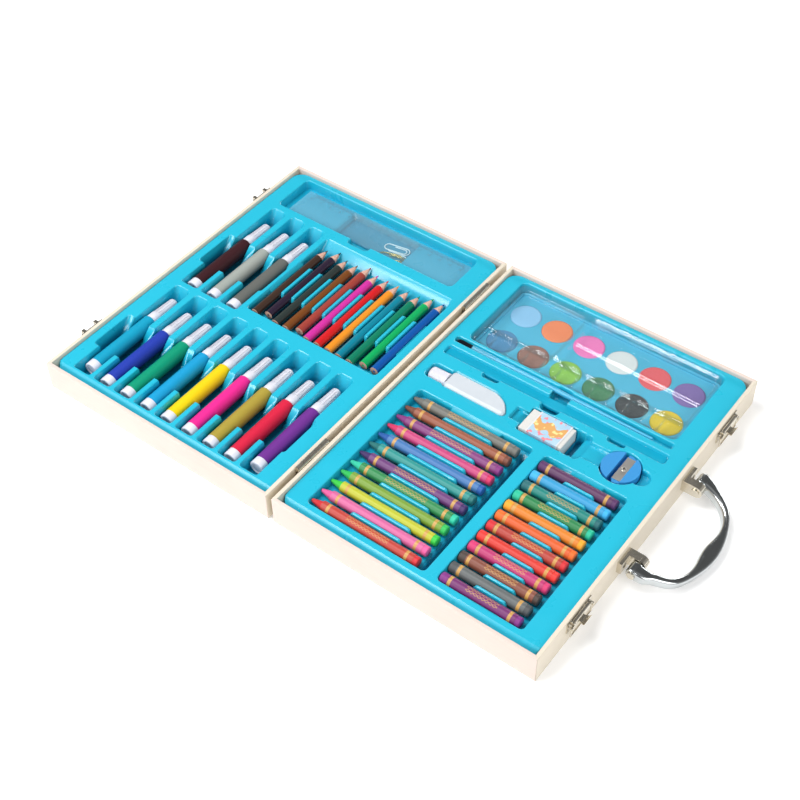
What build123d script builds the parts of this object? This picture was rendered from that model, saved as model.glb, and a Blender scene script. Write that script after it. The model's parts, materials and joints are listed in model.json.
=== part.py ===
from build123d import *
from collections import namedtuple
import math
import os

# Art set case: two shallow wooden halves on butt hinges, lying open, with formed inserts.
# Millimetres. The origin is the middle of the base half's underside, +X points to the handle,
# +Y runs along the hinge and +Z is up. The lid half lies open on the -X side.

os.makedirs("parts", exist_ok=True)

# Wooden halves
half_height = 24.0
board_t = 3.0
panel_t = 2.5
hinge_gap = 4.4
closed_gap = 0.3

# Formed inserts
sheet_t = 1.2
tray_gap = 0.5
tray_drop = 2.8
tray_corner = 10.0
tray_near_slope = 6.5
lip = 1.0
lip_turn = 0.293
ridge_edge = 0.5
ridge_gap = 0.15
ridge_arch_run = 5.0
ridge_arch_fall = 3.2
wall_lean = 0.06
seat_gap = 0.3
small_corner = 2.0
middle_corner = 3.0
wide_corner = 4.0
fullest_corner = 0.49
same_level = 0.01
deck_z = half_height - tray_drop

# Crayons and oil pastels, which lie across the base in two rows
stick_count = 12
stick_pitch = 10.45
stick_drop = 2.7
stick_near_margin = 4.85
stick_far_margin = 7.7
stick_ridge_rise = 1.0
paper_t = 0.15
paper_fit = 0.05
crayon_d = 7.8
crayon_length = 88.0
crayon_tip_length = 9.2
crayon_tip_d = 2.4
crayon_bare_end = 3.6
crayon_shoulder = 0.6
crayon_end_edge = 0.5
crayon_tip_room = 0.9
crayon_finger_room = 7.6
crayon_ridge_start = 29.1
crayon_ridge_length = 41.5
finger_zone = 7.2
finger_zone_drop = 13.0
finger_zone_end = 2.5
finger_zone_back = 0.5
pastel_d = 8.2
pastel_length = 60.5
pastel_bare_end = 5.4
pastel_bare_tail = 3.6
pastel_edge = 0.6
pastel_back_room = 0.8
pastel_front_room = 3.8
pastel_ridge_start = 22.1
pastel_ridge_length = 24.5

# Supplies row of the base: glue, eraser and sharpener
supplies_width = 30.0
glue_cap_length = 15.0
glue_cap_d = 12.5
glue_cap_end_d = 10.8
glue_body_length = 55.0
glue_body_width = 16.5
glue_body_height = 12.0
glue_shoulder_length = 38.0
glue_bend_length = 47.5
glue_bend_width = 12.0
glue_sweep_r = 18.0
glue_corner = 3.2
glue_neck_d = 7.0
glue_neck_length = 9.0
glue_room = 2.0
glue_edge = 3.0
glue_proud = 0.8
bridge_length = 8.5
bridge_width = 12.0
bridge_drop = 4.0
eraser_length = 35.0
eraser_width = 21.0
eraser_height = 11.5
eraser_edge = 0.8
eraser_proud = 0.5
sleeve_t = 0.4
sleeve_length = 26.0
sleeve_start = 6.0
gap_length = 6.5
gap_drop = 13.5
step_length = 6.0
step_drop = 5.0
channel_length = 14.0
channel_width = 15.5
channel_drop = 3.5
sharpener_d = 27.5
sharpener_height = 12.0
sharpener_proud = 0.3
sharpener_hole_d = 8.0
sharpener_hole_tip_d = 1.6
sharpener_hole_depth = 5.0
blade_length = 22.0
blade_width = 6.5
blade_t = 0.6
blade_offset = 1.2
shaving_gap = 2.6
shaving_depth = 4.0
sharpener_screw_d = 1.7
sharpener_screw_length = 2.5
screw_head_d = 3.4
screw_head_t = 0.8
screw_slot = 0.5
notch_r = 7.0
notch_offset = 15.2

# Mixing stick and brush slots of the base
bar_length = 182.5
bar_width = 8.0
bar_t = 2.5
bar_corner = 2.7
bar_edge = 0.4
bar_drop = 2.2
bar_room = 0.5
brush_slot_width = 5.5
brush_slot_length = 181.0
brush_drop = 2.6
handle_d = 4.0
brush_handle_length = 130.0
brush_tail_d = 2.6
brush_tail_edge = 0.5
brush_straight = 40.0
brush_plug_length = 8.0
ferrule_d = 4.3
ferrule_tip_d = 4.7
ferrule_length = 21.0
ferrule_wall = 0.35
ferrule_crimp = 1.5
tuft_length = 14.0
tuft_d = 4.1
strand_pitch = 0.2
strand_width = 0.13
strand_bite = 0.2
tuft_root = 1.5
tuft_taper = 0.35
brush_slot_back = 0.5
cross_notch_x = -1.5
cross_notch_width = 15.0
cross_notch_past = 2.0
cross_notch_drop = 8.5
side_notch_length = 14.0
side_notch_reach = 4.0
side_notch_drop = 6.5
side_notch_inset = 36.0

# Paint palette and its clear cover
palette_length = 173.3
palette_width = 75.0
palette_drop = 13.2
palette_corner = 5.0
palette_t = 3.0
palette_rim = 1.8
palette_rim_rise = 1.7
pan_count = 6
pan_d = 23.6
pan_pitch = 27.9
pan_row_pitch = 33.0
pan_first = 17.2
pan_near = 19.5
pan_depth = 2.0
pan_proud = 0.5
pan_fit = 0.3
cake_edge = 0.5
cake_rim = 1.0
cake_dish = 0.4
cover_t = 0.6
cover_rise = 6.9
cover_rim = 1.4
cover_rib = 5.0
cover_small_count = 12
cover_small_width = 17.0
cover_split = 57.5
cover_lip = 0.5
cover_small_gap = 0.8
cover_row_gap = 1.0

# Base insert, margins and ribs along X and along Y
base_back_margin = 15.2
row_rib = 9.5
base_front_margin = 16.7
supplies_back_margin = 8.0
supplies_front_margin = 12.5
slot_back_margin = 6.5
slot_front_margin = 12.5
palette_back_margin = 12.9
palette_front_margin = 16.8
base_near_margin = 11.0
rib_sticks = 6.0
rib_supplies = 4.5
rib_bar = 5.5
rib_brush = 3.0
base_far_margin = 4.0

# Felt tip markers of the lid
marker_columns = 9
marker_upper_columns = 3
marker_pitch = 19.95
marker_slot_width = 14.2
marker_finger = 4.2
marker_finger_length = 26.0
marker_drop = 6.5
marker_d = 12.0
marker_length = 90.0
marker_plug_d = 11.6
marker_plug_length = 6.3
marker_cap_length = 27.0
marker_cap_d = 10.4
marker_collar = 7.0
marker_collar_step = 0.4
marker_edge = 0.8
marker_end_edge = 0.5
marker_cap_round = 2.0
marker_cap_wall = 2.0
marker_core_play = 0.2
marker_cap_tip_d = 8.0
marker_wall = 1.4
marker_spigot = 4.0
marker_neck_d = 8.6
marker_neck_length = 7.0
marker_nib_d = 3.0
marker_nib_length = 15.0
marker_nib_out = 6.0
marker_nib_point = 1.8
marker_nib_room = 0.8
marker_push = 4.8
marker_near_room = 3.4
marker_far_room = 15.6
marker_trough_length = 37.0
marker_slope = 11.0
marker_slot_slope = 7.0
marker_notch_back = 6.3
marker_notch_front = 2.6

# Short pencils of the lid
pencil_count = 12
pencil_pitch = 10.05
pencil_drop = 3.4
pencil_d = 7.2
pencil_length = 88.0
pencil_cone = 8.5
pencil_lead_d = 2.0
pencil_lead_out = 3.5
pencil_lead_tip_d = 0.5
pencil_push = 4.0
pencil_front_room = 3.25
pencil_back_room = 1.5
pencil_near_room = 1.5
pencil_far_room = 8.5
pencil_slope = 7.6
pencil_ridge_start = 27.0
pencil_ridge_length = 37.0
pencil_ridge_rise = 0.3

# Ruler and paper clips of the lid
ruler_length = 163.0
ruler_width = 30.0
ruler_t = 2.0
ruler_drop = 5.7
ruler_bevel = 0.8
ruler_side_room = 3.75
ruler_end_room = 6.8
ruler_far_room = 2.7
clip_bay_start = 50.3
clip_bay_length = 70.0
clip_bay_width = 32.0
clip_bay_drop = 15.2
clip_wire_d = 0.9
clip_length = 22.0
clip_outer_r = 4.0
clip_middle_r = 3.4
clip_inner_r = 2.6
clip_end_inset = 2.0
clip_inner_inset = 5.0
clip_pile_x = 10.0
clip_spots = [(-3.0, 3.0, 0, 10.0), (-1.0, -8.0, 0, 12.0), (1.0, -8.5, 1, 16.0)]
ruler_notch_start = 75.0
ruler_notch_length = 20.0
ruler_notch_reach = 5.5

# Lid insert, margins and ribs along X and along Y
lid_front_margin = 13.2
lid_back_margin = 16.0
pencil_rib = 5.8
pencil_back_margin = 7.4
ruler_front_margin = 12.6
ruler_back_margin = 17.9
lid_near_margin = 8.5
rib_markers = 5.5
rib_ruler = 7.0
lid_far_margin = 4.5

# Butt hinges
hinge_y = 98.0
hinge_length = 32.5
knuckle_count = 5
knuckle_d = 4.2
knuckle_play = 0.2
hinge_pin_d = 1.6
pin_fit = 0.05
leaf_t = 0.8
leaf_height = 14.0
leaf_screw_inset = 7.0
leaf_screw_drop = 8.0

# Carrying handle and its brackets
handle_pivot_out = 10.5
handle_pivot_z = 14.5
handle_t = 9.0
handle_inner_y = 40.9
handle_outer_y = 50.4
handle_round = 2.2
handle_reach = 37.4
handle_outer_bends = [(25.6, 4.0), (13.3, 11.4), (5.5, 24.0)]
handle_grip_reach = 26.6
handle_inner_bends = [(15.6, 1.6), (9.6, 4.0), (2.0, 11.0), (-1.6, 23.5)]
handle_rest_gap = 0.05
ear_y0 = 34.5
ear_y1 = 40.5
ear_r = 5.0
bracket_y1 = 50.0
bracket_t = 3.4
bracket_height = 10.0
handle_pin_d = 3.2
handle_pin_head_d = 5.6
handle_pin_head_t = 0.8

# Draw latches
latch_y = 97.0
latch_half_width = 14.0
latch_plate_t = 0.9
latch_plate_z0 = 13.0
latch_plate_z1 = 22.3
latch_ear_y = 9.4
latch_ear_t = 1.2
latch_ear_r = 1.7
latch_pivot_out = 2.0
latch_pivot_z = 20.6
latch_pin_d = 1.4
lever_half_width = 8.8
lever_roll_r = 1.6
lever_t = 1.2
lever_z0 = 16.6
tab_root = 5.0
tab_end = 9.0
tab_out = 7.5
tab_t = 1.0
tab_tip = 1.5
tab_hollow = 0.6
tab_sag = 1.4
tab_rise = 0.8
trunnion_out = 2.6
trunnion_z = 17.8
trunnion_length = 4.4
bail_arm_y = 12.0
bail_wire_d = 1.2
bail_eye_r = 1.5
bail_length = 8.4
latch_screw_y = 12.2
latch_screw_z = 20.7
catch_half_width = 10.6
catch_plate_t = 1.0
catch_height = 8.4
catch_hook_half_width = 7.5
catch_hook_t = 0.6
catch_lip_rise = 2.8
catch_prong = 2.8
catch_bar_gap = 0.3
catch_screw_y = 5.5
catch_screw_rise = 5.85

# Wood screws
wood_screw_d = 2.2
wood_screw_head_d = 3.6
wood_screw_bite = 2.5
wood_screw_fit = 0.05

# The open case lies on a table, so the handle hangs until the edge of its grip rests there
droop_reach = handle_reach - handle_round
droop_depth = handle_t / 2 - handle_round
droop_fall = handle_pivot_z - handle_round - handle_rest_gap
handle_droop = math.degrees(math.asin(droop_fall / math.hypot(droop_reach, droop_depth))
                            - math.atan2(droop_depth, droop_reach))

# Lengths added up from the contents
stick_row = stick_near_margin + (stick_count - 1) * stick_pitch + stick_far_margin
crayon_pocket = crayon_tip_room + crayon_length + crayon_finger_room
pastel_pocket = pastel_back_room + pastel_length + pastel_front_room
glue_length = glue_cap_length + glue_body_length
glue_pocket = glue_length + 2 * glue_room
eraser_pocket = eraser_length + 2 * lip + seat_gap
bar_slot = bar_length + 2 * bar_room
bar_slot_width = bar_width + 2 * bar_room
marker_slot = marker_near_room + marker_length + marker_far_room
marker_row = marker_slot_width + (marker_columns - 1) * marker_pitch
marker_upper_row = marker_slot_width + (marker_upper_columns - 1) * marker_pitch
pencil_row = pencil_d + (pencil_count - 1) * pencil_pitch
pencil_pocket = pencil_front_room + pencil_row + pencil_back_room
ruler_recess = ruler_end_room + ruler_length + ruler_far_room
ruler_recess_width = ruler_width + 2 * ruler_side_room

base_rows = [
    base_back_margin + crayon_pocket + row_rib + pastel_pocket + base_front_margin,
    supplies_back_margin + glue_pocket + bridge_length + eraser_pocket + gap_length + step_length
    + channel_length + sharpener_d / 2 + notch_offset + notch_r + supplies_front_margin,
    slot_back_margin + bar_slot + slot_front_margin,
    palette_back_margin + palette_length + palette_front_margin,
]
lid_rows = [
    lid_front_margin + marker_row + lid_back_margin,
    lid_front_margin + marker_upper_row + pencil_rib + pencil_pocket + pencil_back_margin,
    ruler_front_margin + ruler_recess + ruler_back_margin,
]
base_length = (base_near_margin + stick_row + rib_sticks + supplies_width + rib_supplies
               + bar_slot_width + rib_bar + brush_slot_width + rib_brush + palette_width
               + base_far_margin)
lid_length = (lid_near_margin + 2 * marker_slot + rib_markers + rib_ruler + ruler_recess_width
              + lid_far_margin)
tray_depth = max(base_rows + lid_rows)
tray_length = max(base_length, lid_length)
inner_x = tray_depth / 2 + tray_gap
inner_y = tray_length / 2 + tray_gap
outer_x = inner_x + board_t
outer_y = inner_y + board_t

# The hinge line and the middle of the lid
hinge_x = -outer_x - hinge_gap / 2
hinge_z = half_height + closed_gap / 2
lid_x = 2 * hinge_x

# Places in the base insert
back_x = -tray_depth / 2
front_x = tray_depth / 2
crayon_x0 = back_x + base_back_margin
crayon_x1 = crayon_x0 + crayon_pocket
pastel_x0 = crayon_x1 + row_rib
pastel_x1 = pastel_x0 + pastel_pocket
sticks_y0 = -tray_length / 2 + base_near_margin
sticks_y1 = sticks_y0 + stick_row
supplies_y = sticks_y1 + rib_sticks + supplies_width / 2
bar_y0 = supplies_y + supplies_width / 2 + rib_supplies
bar_y1 = bar_y0 + bar_slot_width
brush_y0 = bar_y1 + rib_bar
brush_y1 = brush_y0 + brush_slot_width
palette_y0 = brush_y1 + rib_brush
palette_y1 = palette_y0 + palette_width
palette_x0 = back_x + palette_back_margin
palette_x1 = palette_x0 + palette_length
glue_x0 = back_x + supplies_back_margin
glue_x1 = glue_x0 + glue_pocket
eraser_x0 = glue_x1 + bridge_length
eraser_x1 = eraser_x0 + eraser_pocket
gap_x1 = eraser_x1 + gap_length
step_x1 = gap_x1 + step_length
sharpener_x = step_x1 + channel_length + sharpener_d / 2
slot_x0 = back_x + slot_back_margin

# Places in the lid insert
lid_front_x = lid_x - tray_depth / 2
marker_x = lid_front_x + lid_front_margin + marker_slot_width / 2
marker_rows_y = [-tray_length / 2 + lid_near_margin]
marker_rows_y.append(marker_rows_y[0] + marker_slot + rib_markers)
pencil_x0 = lid_front_x + lid_front_margin + marker_upper_row + pencil_rib
pencil_x1 = pencil_x0 + pencil_pocket
pencil_y0 = marker_rows_y[1] + marker_near_room + marker_near_room
pencil_y1 = pencil_y0 + pencil_near_room + pencil_length + pencil_far_room
ruler_x0 = lid_front_x + ruler_front_margin
ruler_x1 = ruler_x0 + ruler_recess
ruler_y0 = marker_rows_y[1] + marker_slot + rib_ruler
ruler_y1 = ruler_y0 + ruler_recess_width

# Levels of the things that lie in the inserts
crayon_z = deck_z - stick_drop
marker_z = deck_z - marker_drop
pencil_z = deck_z - pencil_drop
brush_z = deck_z - brush_drop
palette_floor = deck_z - palette_drop
palette_top = palette_floor + seat_gap + palette_t
cover_foot = palette_top + palette_rim_rise + seat_gap


def block(x0, x1, y0, y1, z0, z1):
    """Box between two corners."""
    middle = Pos((x0 + x1) / 2, (y0 + y1) / 2, (z0 + z1) / 2)
    return middle * Box(x1 - x0, y1 - y0, z1 - z0)


def outline(x0, x1, y0, y1, z, corner):
    """Rounded rectangle at height z, with its corner limited by its own width."""
    width = x1 - x0
    length = y1 - y0
    radius = min(corner, fullest_corner * width, fullest_corner * length)
    return Pos((x0 + x1) / 2, (y0 + y1) / 2, z) * RectangleRounded(width, length, radius)


def turned(stations):
    """Solid turned about X from (distance along X, radius) stations."""
    points = [(stations[0][0], 0)] + list(stations) + [(stations[-1][0], 0)]
    profile = make_face(Polyline(*points, close=True))
    return revolve(profile, Axis.X)


def turned_ring(stations):
    """Closed (distance, radius) outline turned about X, for tubes and bored pieces."""
    return revolve(make_face(Polyline(*stations, close=True)), Axis.X)


def along_y(x, y, z):
    """Place a piece that was turned about X so that it runs along +Y from a point."""
    return Pos(x, y, z) * Rot(0, 0, 90)


def rod_y(x, y0, y1, z, diameter):
    """Round rod along Y."""
    return Pos(x, (y0 + y1) / 2, z) * Rot(90, 0, 0) * Cylinder(diameter / 2, y1 - y0)


def rod_x(x0, x1, y, z, diameter):
    """Round rod along X."""
    return Pos((x0 + x1) / 2, y, z) * Rot(0, 90, 0) * Cylinder(diameter / 2, x1 - x0)


def group(solids):
    """Several separate solids kept in one node."""
    return Compound(children=list(solids))


# Formed sheets: a deck with a skirt, pockets of the same sheet, and ridges in them

Well = namedtuple("Well", "x0 x1 y0 y1 floor corner near_run far_run",
                  defaults=(middle_corner, 0.0, 0.0))
RoundWell = namedtuple("RoundWell", "x y radius floor")
Sheet = namedtuple("Sheet", "deck thickness lip")


def lean(drop):
    """How far a pocket's wall leans in over its depth, so that the sheet leaves its mould."""
    return wall_lean * drop


def well_sections(well, sheet, grow):
    """Outlines of a pocket at its floor and at the foot of its lip, grown by the sheet."""
    foot = sheet.deck - sheet.lip
    draft = lean(foot - well.floor)
    if isinstance(well, RoundWell):
        low = Pos(well.x, well.y, well.floor - grow) * Circle(well.radius - draft + grow)
        high = Pos(well.x, well.y, foot) * Circle(well.radius + grow)
        return low, high
    low = outline(well.x0 + draft - grow, well.x1 - draft + grow,
                  well.y0 + draft + well.near_run - grow, well.y1 - draft - well.far_run + grow,
                  well.floor - grow, well.corner + grow)
    high = outline(well.x0 - grow, well.x1 + grow, well.y0 - grow, well.y1 + grow, foot,
                   well.corner + grow)
    return low, high


def well_boss(well, sheet):
    """Outside of a formed pocket."""
    return loft(well_sections(well, sheet, sheet.thickness), ruled=True)


def well_mouth(well, z, flare):
    """Outline of a pocket's lip at height z, grown by its flare."""
    if isinstance(well, RoundWell):
        return Pos(well.x, well.y, z) * Circle(well.radius + flare)
    return outline(well.x0 - flare, well.x1 + flare, well.y0 - flare, well.y1 + flare, z,
                   well.corner + flare)


def well_cavity(well, sheet):
    """Inside of a formed pocket, whose lip rolls over in two steps and runs past the deck."""
    low, high = well_sections(well, sheet, 0)
    turn = lip_turn * sheet.lip
    rolled = well_mouth(well, sheet.deck - turn, turn)
    mouth = well_mouth(well, sheet.deck + turn, 2 * sheet.lip - turn)
    return [loft([low, high], ruled=True), loft([high, rolled], ruled=True),
            loft([rolled, mouth], ruled=True)]


def sloped_block(x0, x1, y0, y1, z0, z1, corner, slope):
    """Block with rounded upright corners whose top falls away along its near side."""
    whole = extrude(outline(x0, x1, y0, y1, z0, corner), z1 - z0)
    if slope == 0:
        return whole
    wedge = make_face(Polyline((y0 - slope, z1 - 2 * slope), (y0 + 2 * slope, z1 + slope),
                               (y0 - slope, z1 + slope), close=True))
    return whole - extrude(Plane.YZ.offset((x0 + x1) / 2) * wedge, x1 - x0, both=True)


def formed_sheet(bounds, foot, corner, slope, sheet, wells, bosses=(), cavities=(), ridges=()):
    """Deck and skirt of one thin sheet with pockets formed down into it."""
    x0, x1, y0, y1 = bounds
    wall = sheet.thickness
    skin = sloped_block(x0, x1, y0, y1, foot, sheet.deck, corner, slope)
    hollow = sloped_block(x0 + wall, x1 - wall, y0 + wall, y1 - wall, foot, sheet.deck - wall,
                          corner - wall, max(slope - 2 * lip_turn * wall, 0))
    shell = skin - hollow
    outsides = [well_boss(well, sheet) for well in wells] + list(bosses)
    insides = [cut for well in wells for cut in well_cavity(well, sheet)] + list(cavities)
    return shell + outsides - insides + list(ridges)


def arch_face(start, end, low, top):
    """Side of a ridge: a flat top whose ends curve down to a low shoulder."""
    shoulder = top - ridge_arch_fall
    into = lip_turn * ridge_arch_run
    bend = top - lip_turn * ridge_arch_fall
    return make_face([
        Polyline((start, shoulder), (start, low), (end, low), (end, shoulder)),
        ThreePointArc((end, shoulder), (end - into, bend), (end - ridge_arch_run, top)),
        Line((end - ridge_arch_run, top), (start + ridge_arch_run, top)),
        ThreePointArc((start + ridge_arch_run, top), (start + into, bend), (start, shoulder)),
    ])


def ridge(x0, x1, y0, y1, floor, top):
    """Upright with rounded, arched ends and a softened top that keeps two sticks apart."""
    foot = outline(x0, x1, y0, y1, floor - sheet_t / 2, max(x1 - x0, y1 - y0))
    upright = extrude(foot, top - floor + sheet_t / 2)
    soft = chamfer(upright.edges().group_by(Axis.Z)[-1], ridge_edge)
    if x1 - x0 > y1 - y0:
        side = Plane.XZ.offset(-(y0 + y1) / 2) * arch_face(x0, x1, floor - sheet_t, top)
    else:
        side = Plane.YZ.offset((x0 + x1) / 2) * arch_face(y0, y1, floor - sheet_t, top)
    return soft & extrude(side, max(x1 - x0, y1 - y0), both=True)


# Wooden halves

def board(front, x_middle):
    """One mitred board: front and back boards run along Y, near and far boards along X."""
    if front in ("front", "back"):
        side = 1 if front == "front" else -1
        corners = [(side * outer_x, -outer_y), (side * outer_x, outer_y),
                   (side * inner_x, inner_y), (side * inner_x, -inner_y)]
    else:
        side = 1 if front == "far" else -1
        corners = [(-outer_x, side * outer_y), (outer_x, side * outer_y),
                   (inner_x, side * inner_y), (-inner_x, side * inner_y)]
    face = make_face(Polyline(*corners, close=True))
    return Pos(x_middle, 0, 0) * extrude(face, half_height, dir=(0, 0, 1))


def panel(x_middle):
    """Thin panel let in between the four boards."""
    return block(x_middle - inner_x, x_middle + inner_x, -inner_y, inner_y, 0, panel_t)


def countersunk_screw():
    """Wood screw along X: its head is flush at x = 0 and it bites towards -X."""
    head = screw_head_height()
    return turned([(-head - screw_reach(), wood_screw_d / 2), (-head, wood_screw_d / 2),
                   (0, wood_screw_head_d / 2)])


def screw_head_height():
    """Height of the countersunk head, cut at 45 degrees."""
    return (wood_screw_head_d - wood_screw_d) / 2


def screw_reach():
    """Length of the shank below the head."""
    return wood_screw_bite + leaf_t - screw_head_height()


def screw_hole():
    """Clearance for one countersunk screw, open past the head."""
    fit = wood_screw_fit
    head = screw_head_height()
    return turned([(-head - screw_reach() - fit, wood_screw_d / 2 + fit),
                   (-head, wood_screw_d / 2 + fit), (fit, wood_screw_head_d / 2 + 2 * fit)])


def from_front(x, y, z):
    """Screw place on a face that looks to +X."""
    return Pos(x, y, z)


def from_back(x, y, z):
    """Screw place on a face that looks to -X."""
    return Pos(x, y, z) * Rot(0, 180, 0)


def to_open(piece):
    """Carry a piece of the closed lid round the hinge to where it lies when the case is open."""
    return piece.rotate(Axis((hinge_x, 0, hinge_z), (0, 1, 0)), 180)


def hinge_screw_places(side):
    """Screw places of the hinge leaf on the base side (side 1) or the lid side (side -1)."""
    face_x = hinge_x + side * (hinge_gap / 2 - leaf_t)
    z = half_height - leaf_screw_drop
    place = from_back if side > 0 else from_front
    reach = hinge_length / 2 - leaf_screw_inset
    return [place(face_x, sign * hinge_y + dy, z) for sign in (-1, 1) for dy in (-reach, reach)]


def bracket_screw_places():
    """One countersunk screw through each bracket foot."""
    middle = (ear_y1 + bracket_y1) / 2
    return [from_front(outer_x + leaf_t, sign * middle, handle_pivot_z) for sign in (-1, 1)]


def latch_screw_places():
    """Two screws at the ends of each latch plate."""
    return [from_front(outer_x + latch_plate_t, sign * latch_y + dy, latch_screw_z)
            for sign in (-1, 1) for dy in (-latch_screw_y, latch_screw_y)]


def catch_screw_z():
    """Height of the catch screws, given for the closed lid."""
    return half_height + closed_gap + catch_screw_rise


def catch_screw_places():
    """Two screws in each catch plate, given for the closed lid."""
    return [from_front(outer_x + catch_plate_t, sign * latch_y + dy, catch_screw_z())
            for sign in (-1, 1) for dy in (-catch_screw_y, catch_screw_y)]


def make_halves(nodes):
    """Boards and panels of both halves, drilled for their screws."""
    for half, x_middle in (("base", 0), ("lid", lid_x)):
        panel_name = "base_bottom_panel" if half == "base" else "lid_top_panel"
        nodes[panel_name] = panel(x_middle)
        for front in ("near", "far"):
            nodes[f"{half}_{front}_board"] = board(front, x_middle)
    front_screws = latch_screw_places() + bracket_screw_places()
    nodes["base_front_board"] = board("front", 0) - [place * screw_hole() for place in front_screws]
    back_holes = [place * screw_hole() for place in hinge_screw_places(1)]
    nodes["base_back_board"] = board("back", 0) - back_holes
    lid_back_holes = [place * screw_hole() for place in hinge_screw_places(-1)]
    nodes["lid_back_board"] = board("front", lid_x) - lid_back_holes
    catch_holes = [to_open(place * screw_hole()) for place in catch_screw_places()]
    nodes["lid_front_board"] = board("back", lid_x) - catch_holes
    base_places = front_screws + hinge_screw_places(1)
    nodes["base_wood_screws"] = group(place * countersunk_screw() for place in base_places)
    lid_screws = [place * countersunk_screw() for place in hinge_screw_places(-1)]
    lid_screws += [to_open(place * countersunk_screw()) for place in catch_screw_places()]
    nodes["lid_wood_screws"] = group(lid_screws)


# Crayons and oil pastels

def stick_y(index):
    """Middle of a crayon or pastel, counted from the far end of the row."""
    return sticks_y1 - stick_far_margin - index * stick_pitch


def stick_ridges(x0, length, diameter):
    """Uprights between the sticks, and one against each end wall of the pocket."""
    floor = crayon_z - diameter / 2 - seat_gap
    clear = diameter / 2 + seat_gap
    reach = diameter / 2 + ridge_gap
    uprights = []
    for index in range(stick_count - 1):
        uprights.append(ridge(x0, x0 + length, stick_y(index + 1) + reach,
                              stick_y(index) - reach, floor, deck_z + stick_ridge_rise))
    near = block(x0, x0 + length, sticks_y0 - lip, stick_y(stick_count - 1) - clear,
                 floor - sheet_t / 2, deck_z - lip)
    far = block(x0, x0 + length, stick_y(0) + clear, sticks_y1 + lip, floor - sheet_t / 2,
                deck_z - lip)
    return uprights + [near, far]


def crayon():
    """Wax crayon with its point at x = 0."""
    radius = crayon_d / 2 - paper_t - paper_fit
    shoulder = crayon_tip_length - crayon_shoulder
    return turned([(0, crayon_tip_d / 2), (shoulder, radius - crayon_shoulder),
                   (shoulder + pin_fit, radius), (crayon_length - crayon_end_edge, radius),
                   (crayon_length, radius - crayon_end_edge)])


def paper_wrapper(x0, x1, diameter):
    """Paper tube round a stick."""
    inner = diameter / 2 - paper_t
    return turned_ring([(x0, inner), (x1, inner), (x1, diameter / 2), (x0, diameter / 2)])


def oil_pastel():
    """Round oil pastel with broken edges."""
    radius = pastel_d / 2 - paper_t - paper_fit
    return turned([(0, radius - pastel_edge), (pastel_edge, radius),
                   (pastel_length - pastel_edge, radius), (pastel_length, radius - pastel_edge)])


def make_sticks(nodes):
    """Both rows of sticks with their paper wrappers."""
    crayon_row = [Pos(crayon_x0 + crayon_tip_room, stick_y(i), crayon_z) for i in range(stick_count)]
    nodes["crayon_sticks"] = group(place * crayon() for place in crayon_row)
    wrap = paper_wrapper(crayon_tip_length, crayon_length - crayon_bare_end, crayon_d)
    nodes["crayon_wrappers"] = group(place * wrap for place in crayon_row)
    pastel_row = [Pos(pastel_x0 + pastel_back_room, stick_y(i), crayon_z)
                  for i in range(stick_count)]
    nodes["oil_pastel_sticks"] = group(place * oil_pastel() for place in pastel_row)
    wrap = paper_wrapper(pastel_bare_end, pastel_length - pastel_bare_tail, pastel_d)
    nodes["oil_pastel_wrappers"] = group(place * wrap for place in pastel_row)


# Glue, eraser and sharpener

def glue_outline(grow):
    """Plan of the bottle body, whose far edge sweeps down to a narrow tail, grown all round."""
    x0 = glue_x0 + glue_room + glue_cap_length - grow
    x1 = glue_x0 + glue_room + glue_length + grow
    near = supplies_y - glue_body_width / 2 - grow
    far = supplies_y + glue_body_width / 2 + grow
    shoulder = (x0 + grow + glue_shoulder_length, far)
    bend = (x0 + grow + glue_bend_length, near + grow + glue_bend_width + grow / 2)
    radii = [glue_corner, glue_corner, glue_sweep_r, glue_sweep_r, glue_corner]
    return make_face(FilletPolyline((x0, near), (x0, far), shoulder, bend, (x1, near),
                                    radius=radii, close=True))


def glue_level():
    """Underside of the glue bottle."""
    return deck_z + glue_proud - glue_body_height


def make_glue(nodes):
    """White bottle with a softened body, a neck and a hollow cap."""
    x_neck = glue_x0 + glue_room + glue_cap_length
    axis_z = glue_level() + glue_body_height / 2
    body = extrude(Pos(0, 0, glue_level()) * glue_outline(0), glue_body_height, dir=(0, 0, 1))
    rims = [edge for edge in body.edges()
            if abs(edge.center().Z - axis_z) > glue_body_height / 2 - same_level]
    body = fillet(rims, glue_edge)
    neck = rod_x(x_neck - glue_neck_length, x_neck + glue_edge, supplies_y, axis_z, glue_neck_d)
    nodes["glue_bottle"] = body + neck
    bore = glue_neck_d / 2 + pin_fit
    end = glue_neck_length + seat_gap
    cap = turned_ring([
        (-seat_gap / 2, bore), (-end, bore), (-end, 0), (-glue_cap_length, 0),
        (-glue_cap_length, glue_cap_end_d / 2 - 1), (-glue_cap_length + 1, glue_cap_end_d / 2),
        (-seat_gap / 2, glue_cap_d / 2),
    ])
    nodes["glue_cap"] = Pos(x_neck, supplies_y, axis_z) * cap


def glue_well():
    """Formed pocket of the glue bottle: shaped body bay and a straight bay for the cap."""
    floor = glue_level() - seat_gap
    top = deck_z - floor
    body_bay = extrude(Pos(0, 0, floor) * glue_outline(1), top + lip, dir=(0, 0, 1))
    body_boss = extrude(Pos(0, 0, floor - sheet_t) * glue_outline(1 + sheet_t), top,
                        dir=(0, 0, 1))
    return body_boss, body_bay


def eraser_level():
    """Underside of the eraser itself, inside its sleeve."""
    return deck_z + eraser_proud - eraser_height


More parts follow.
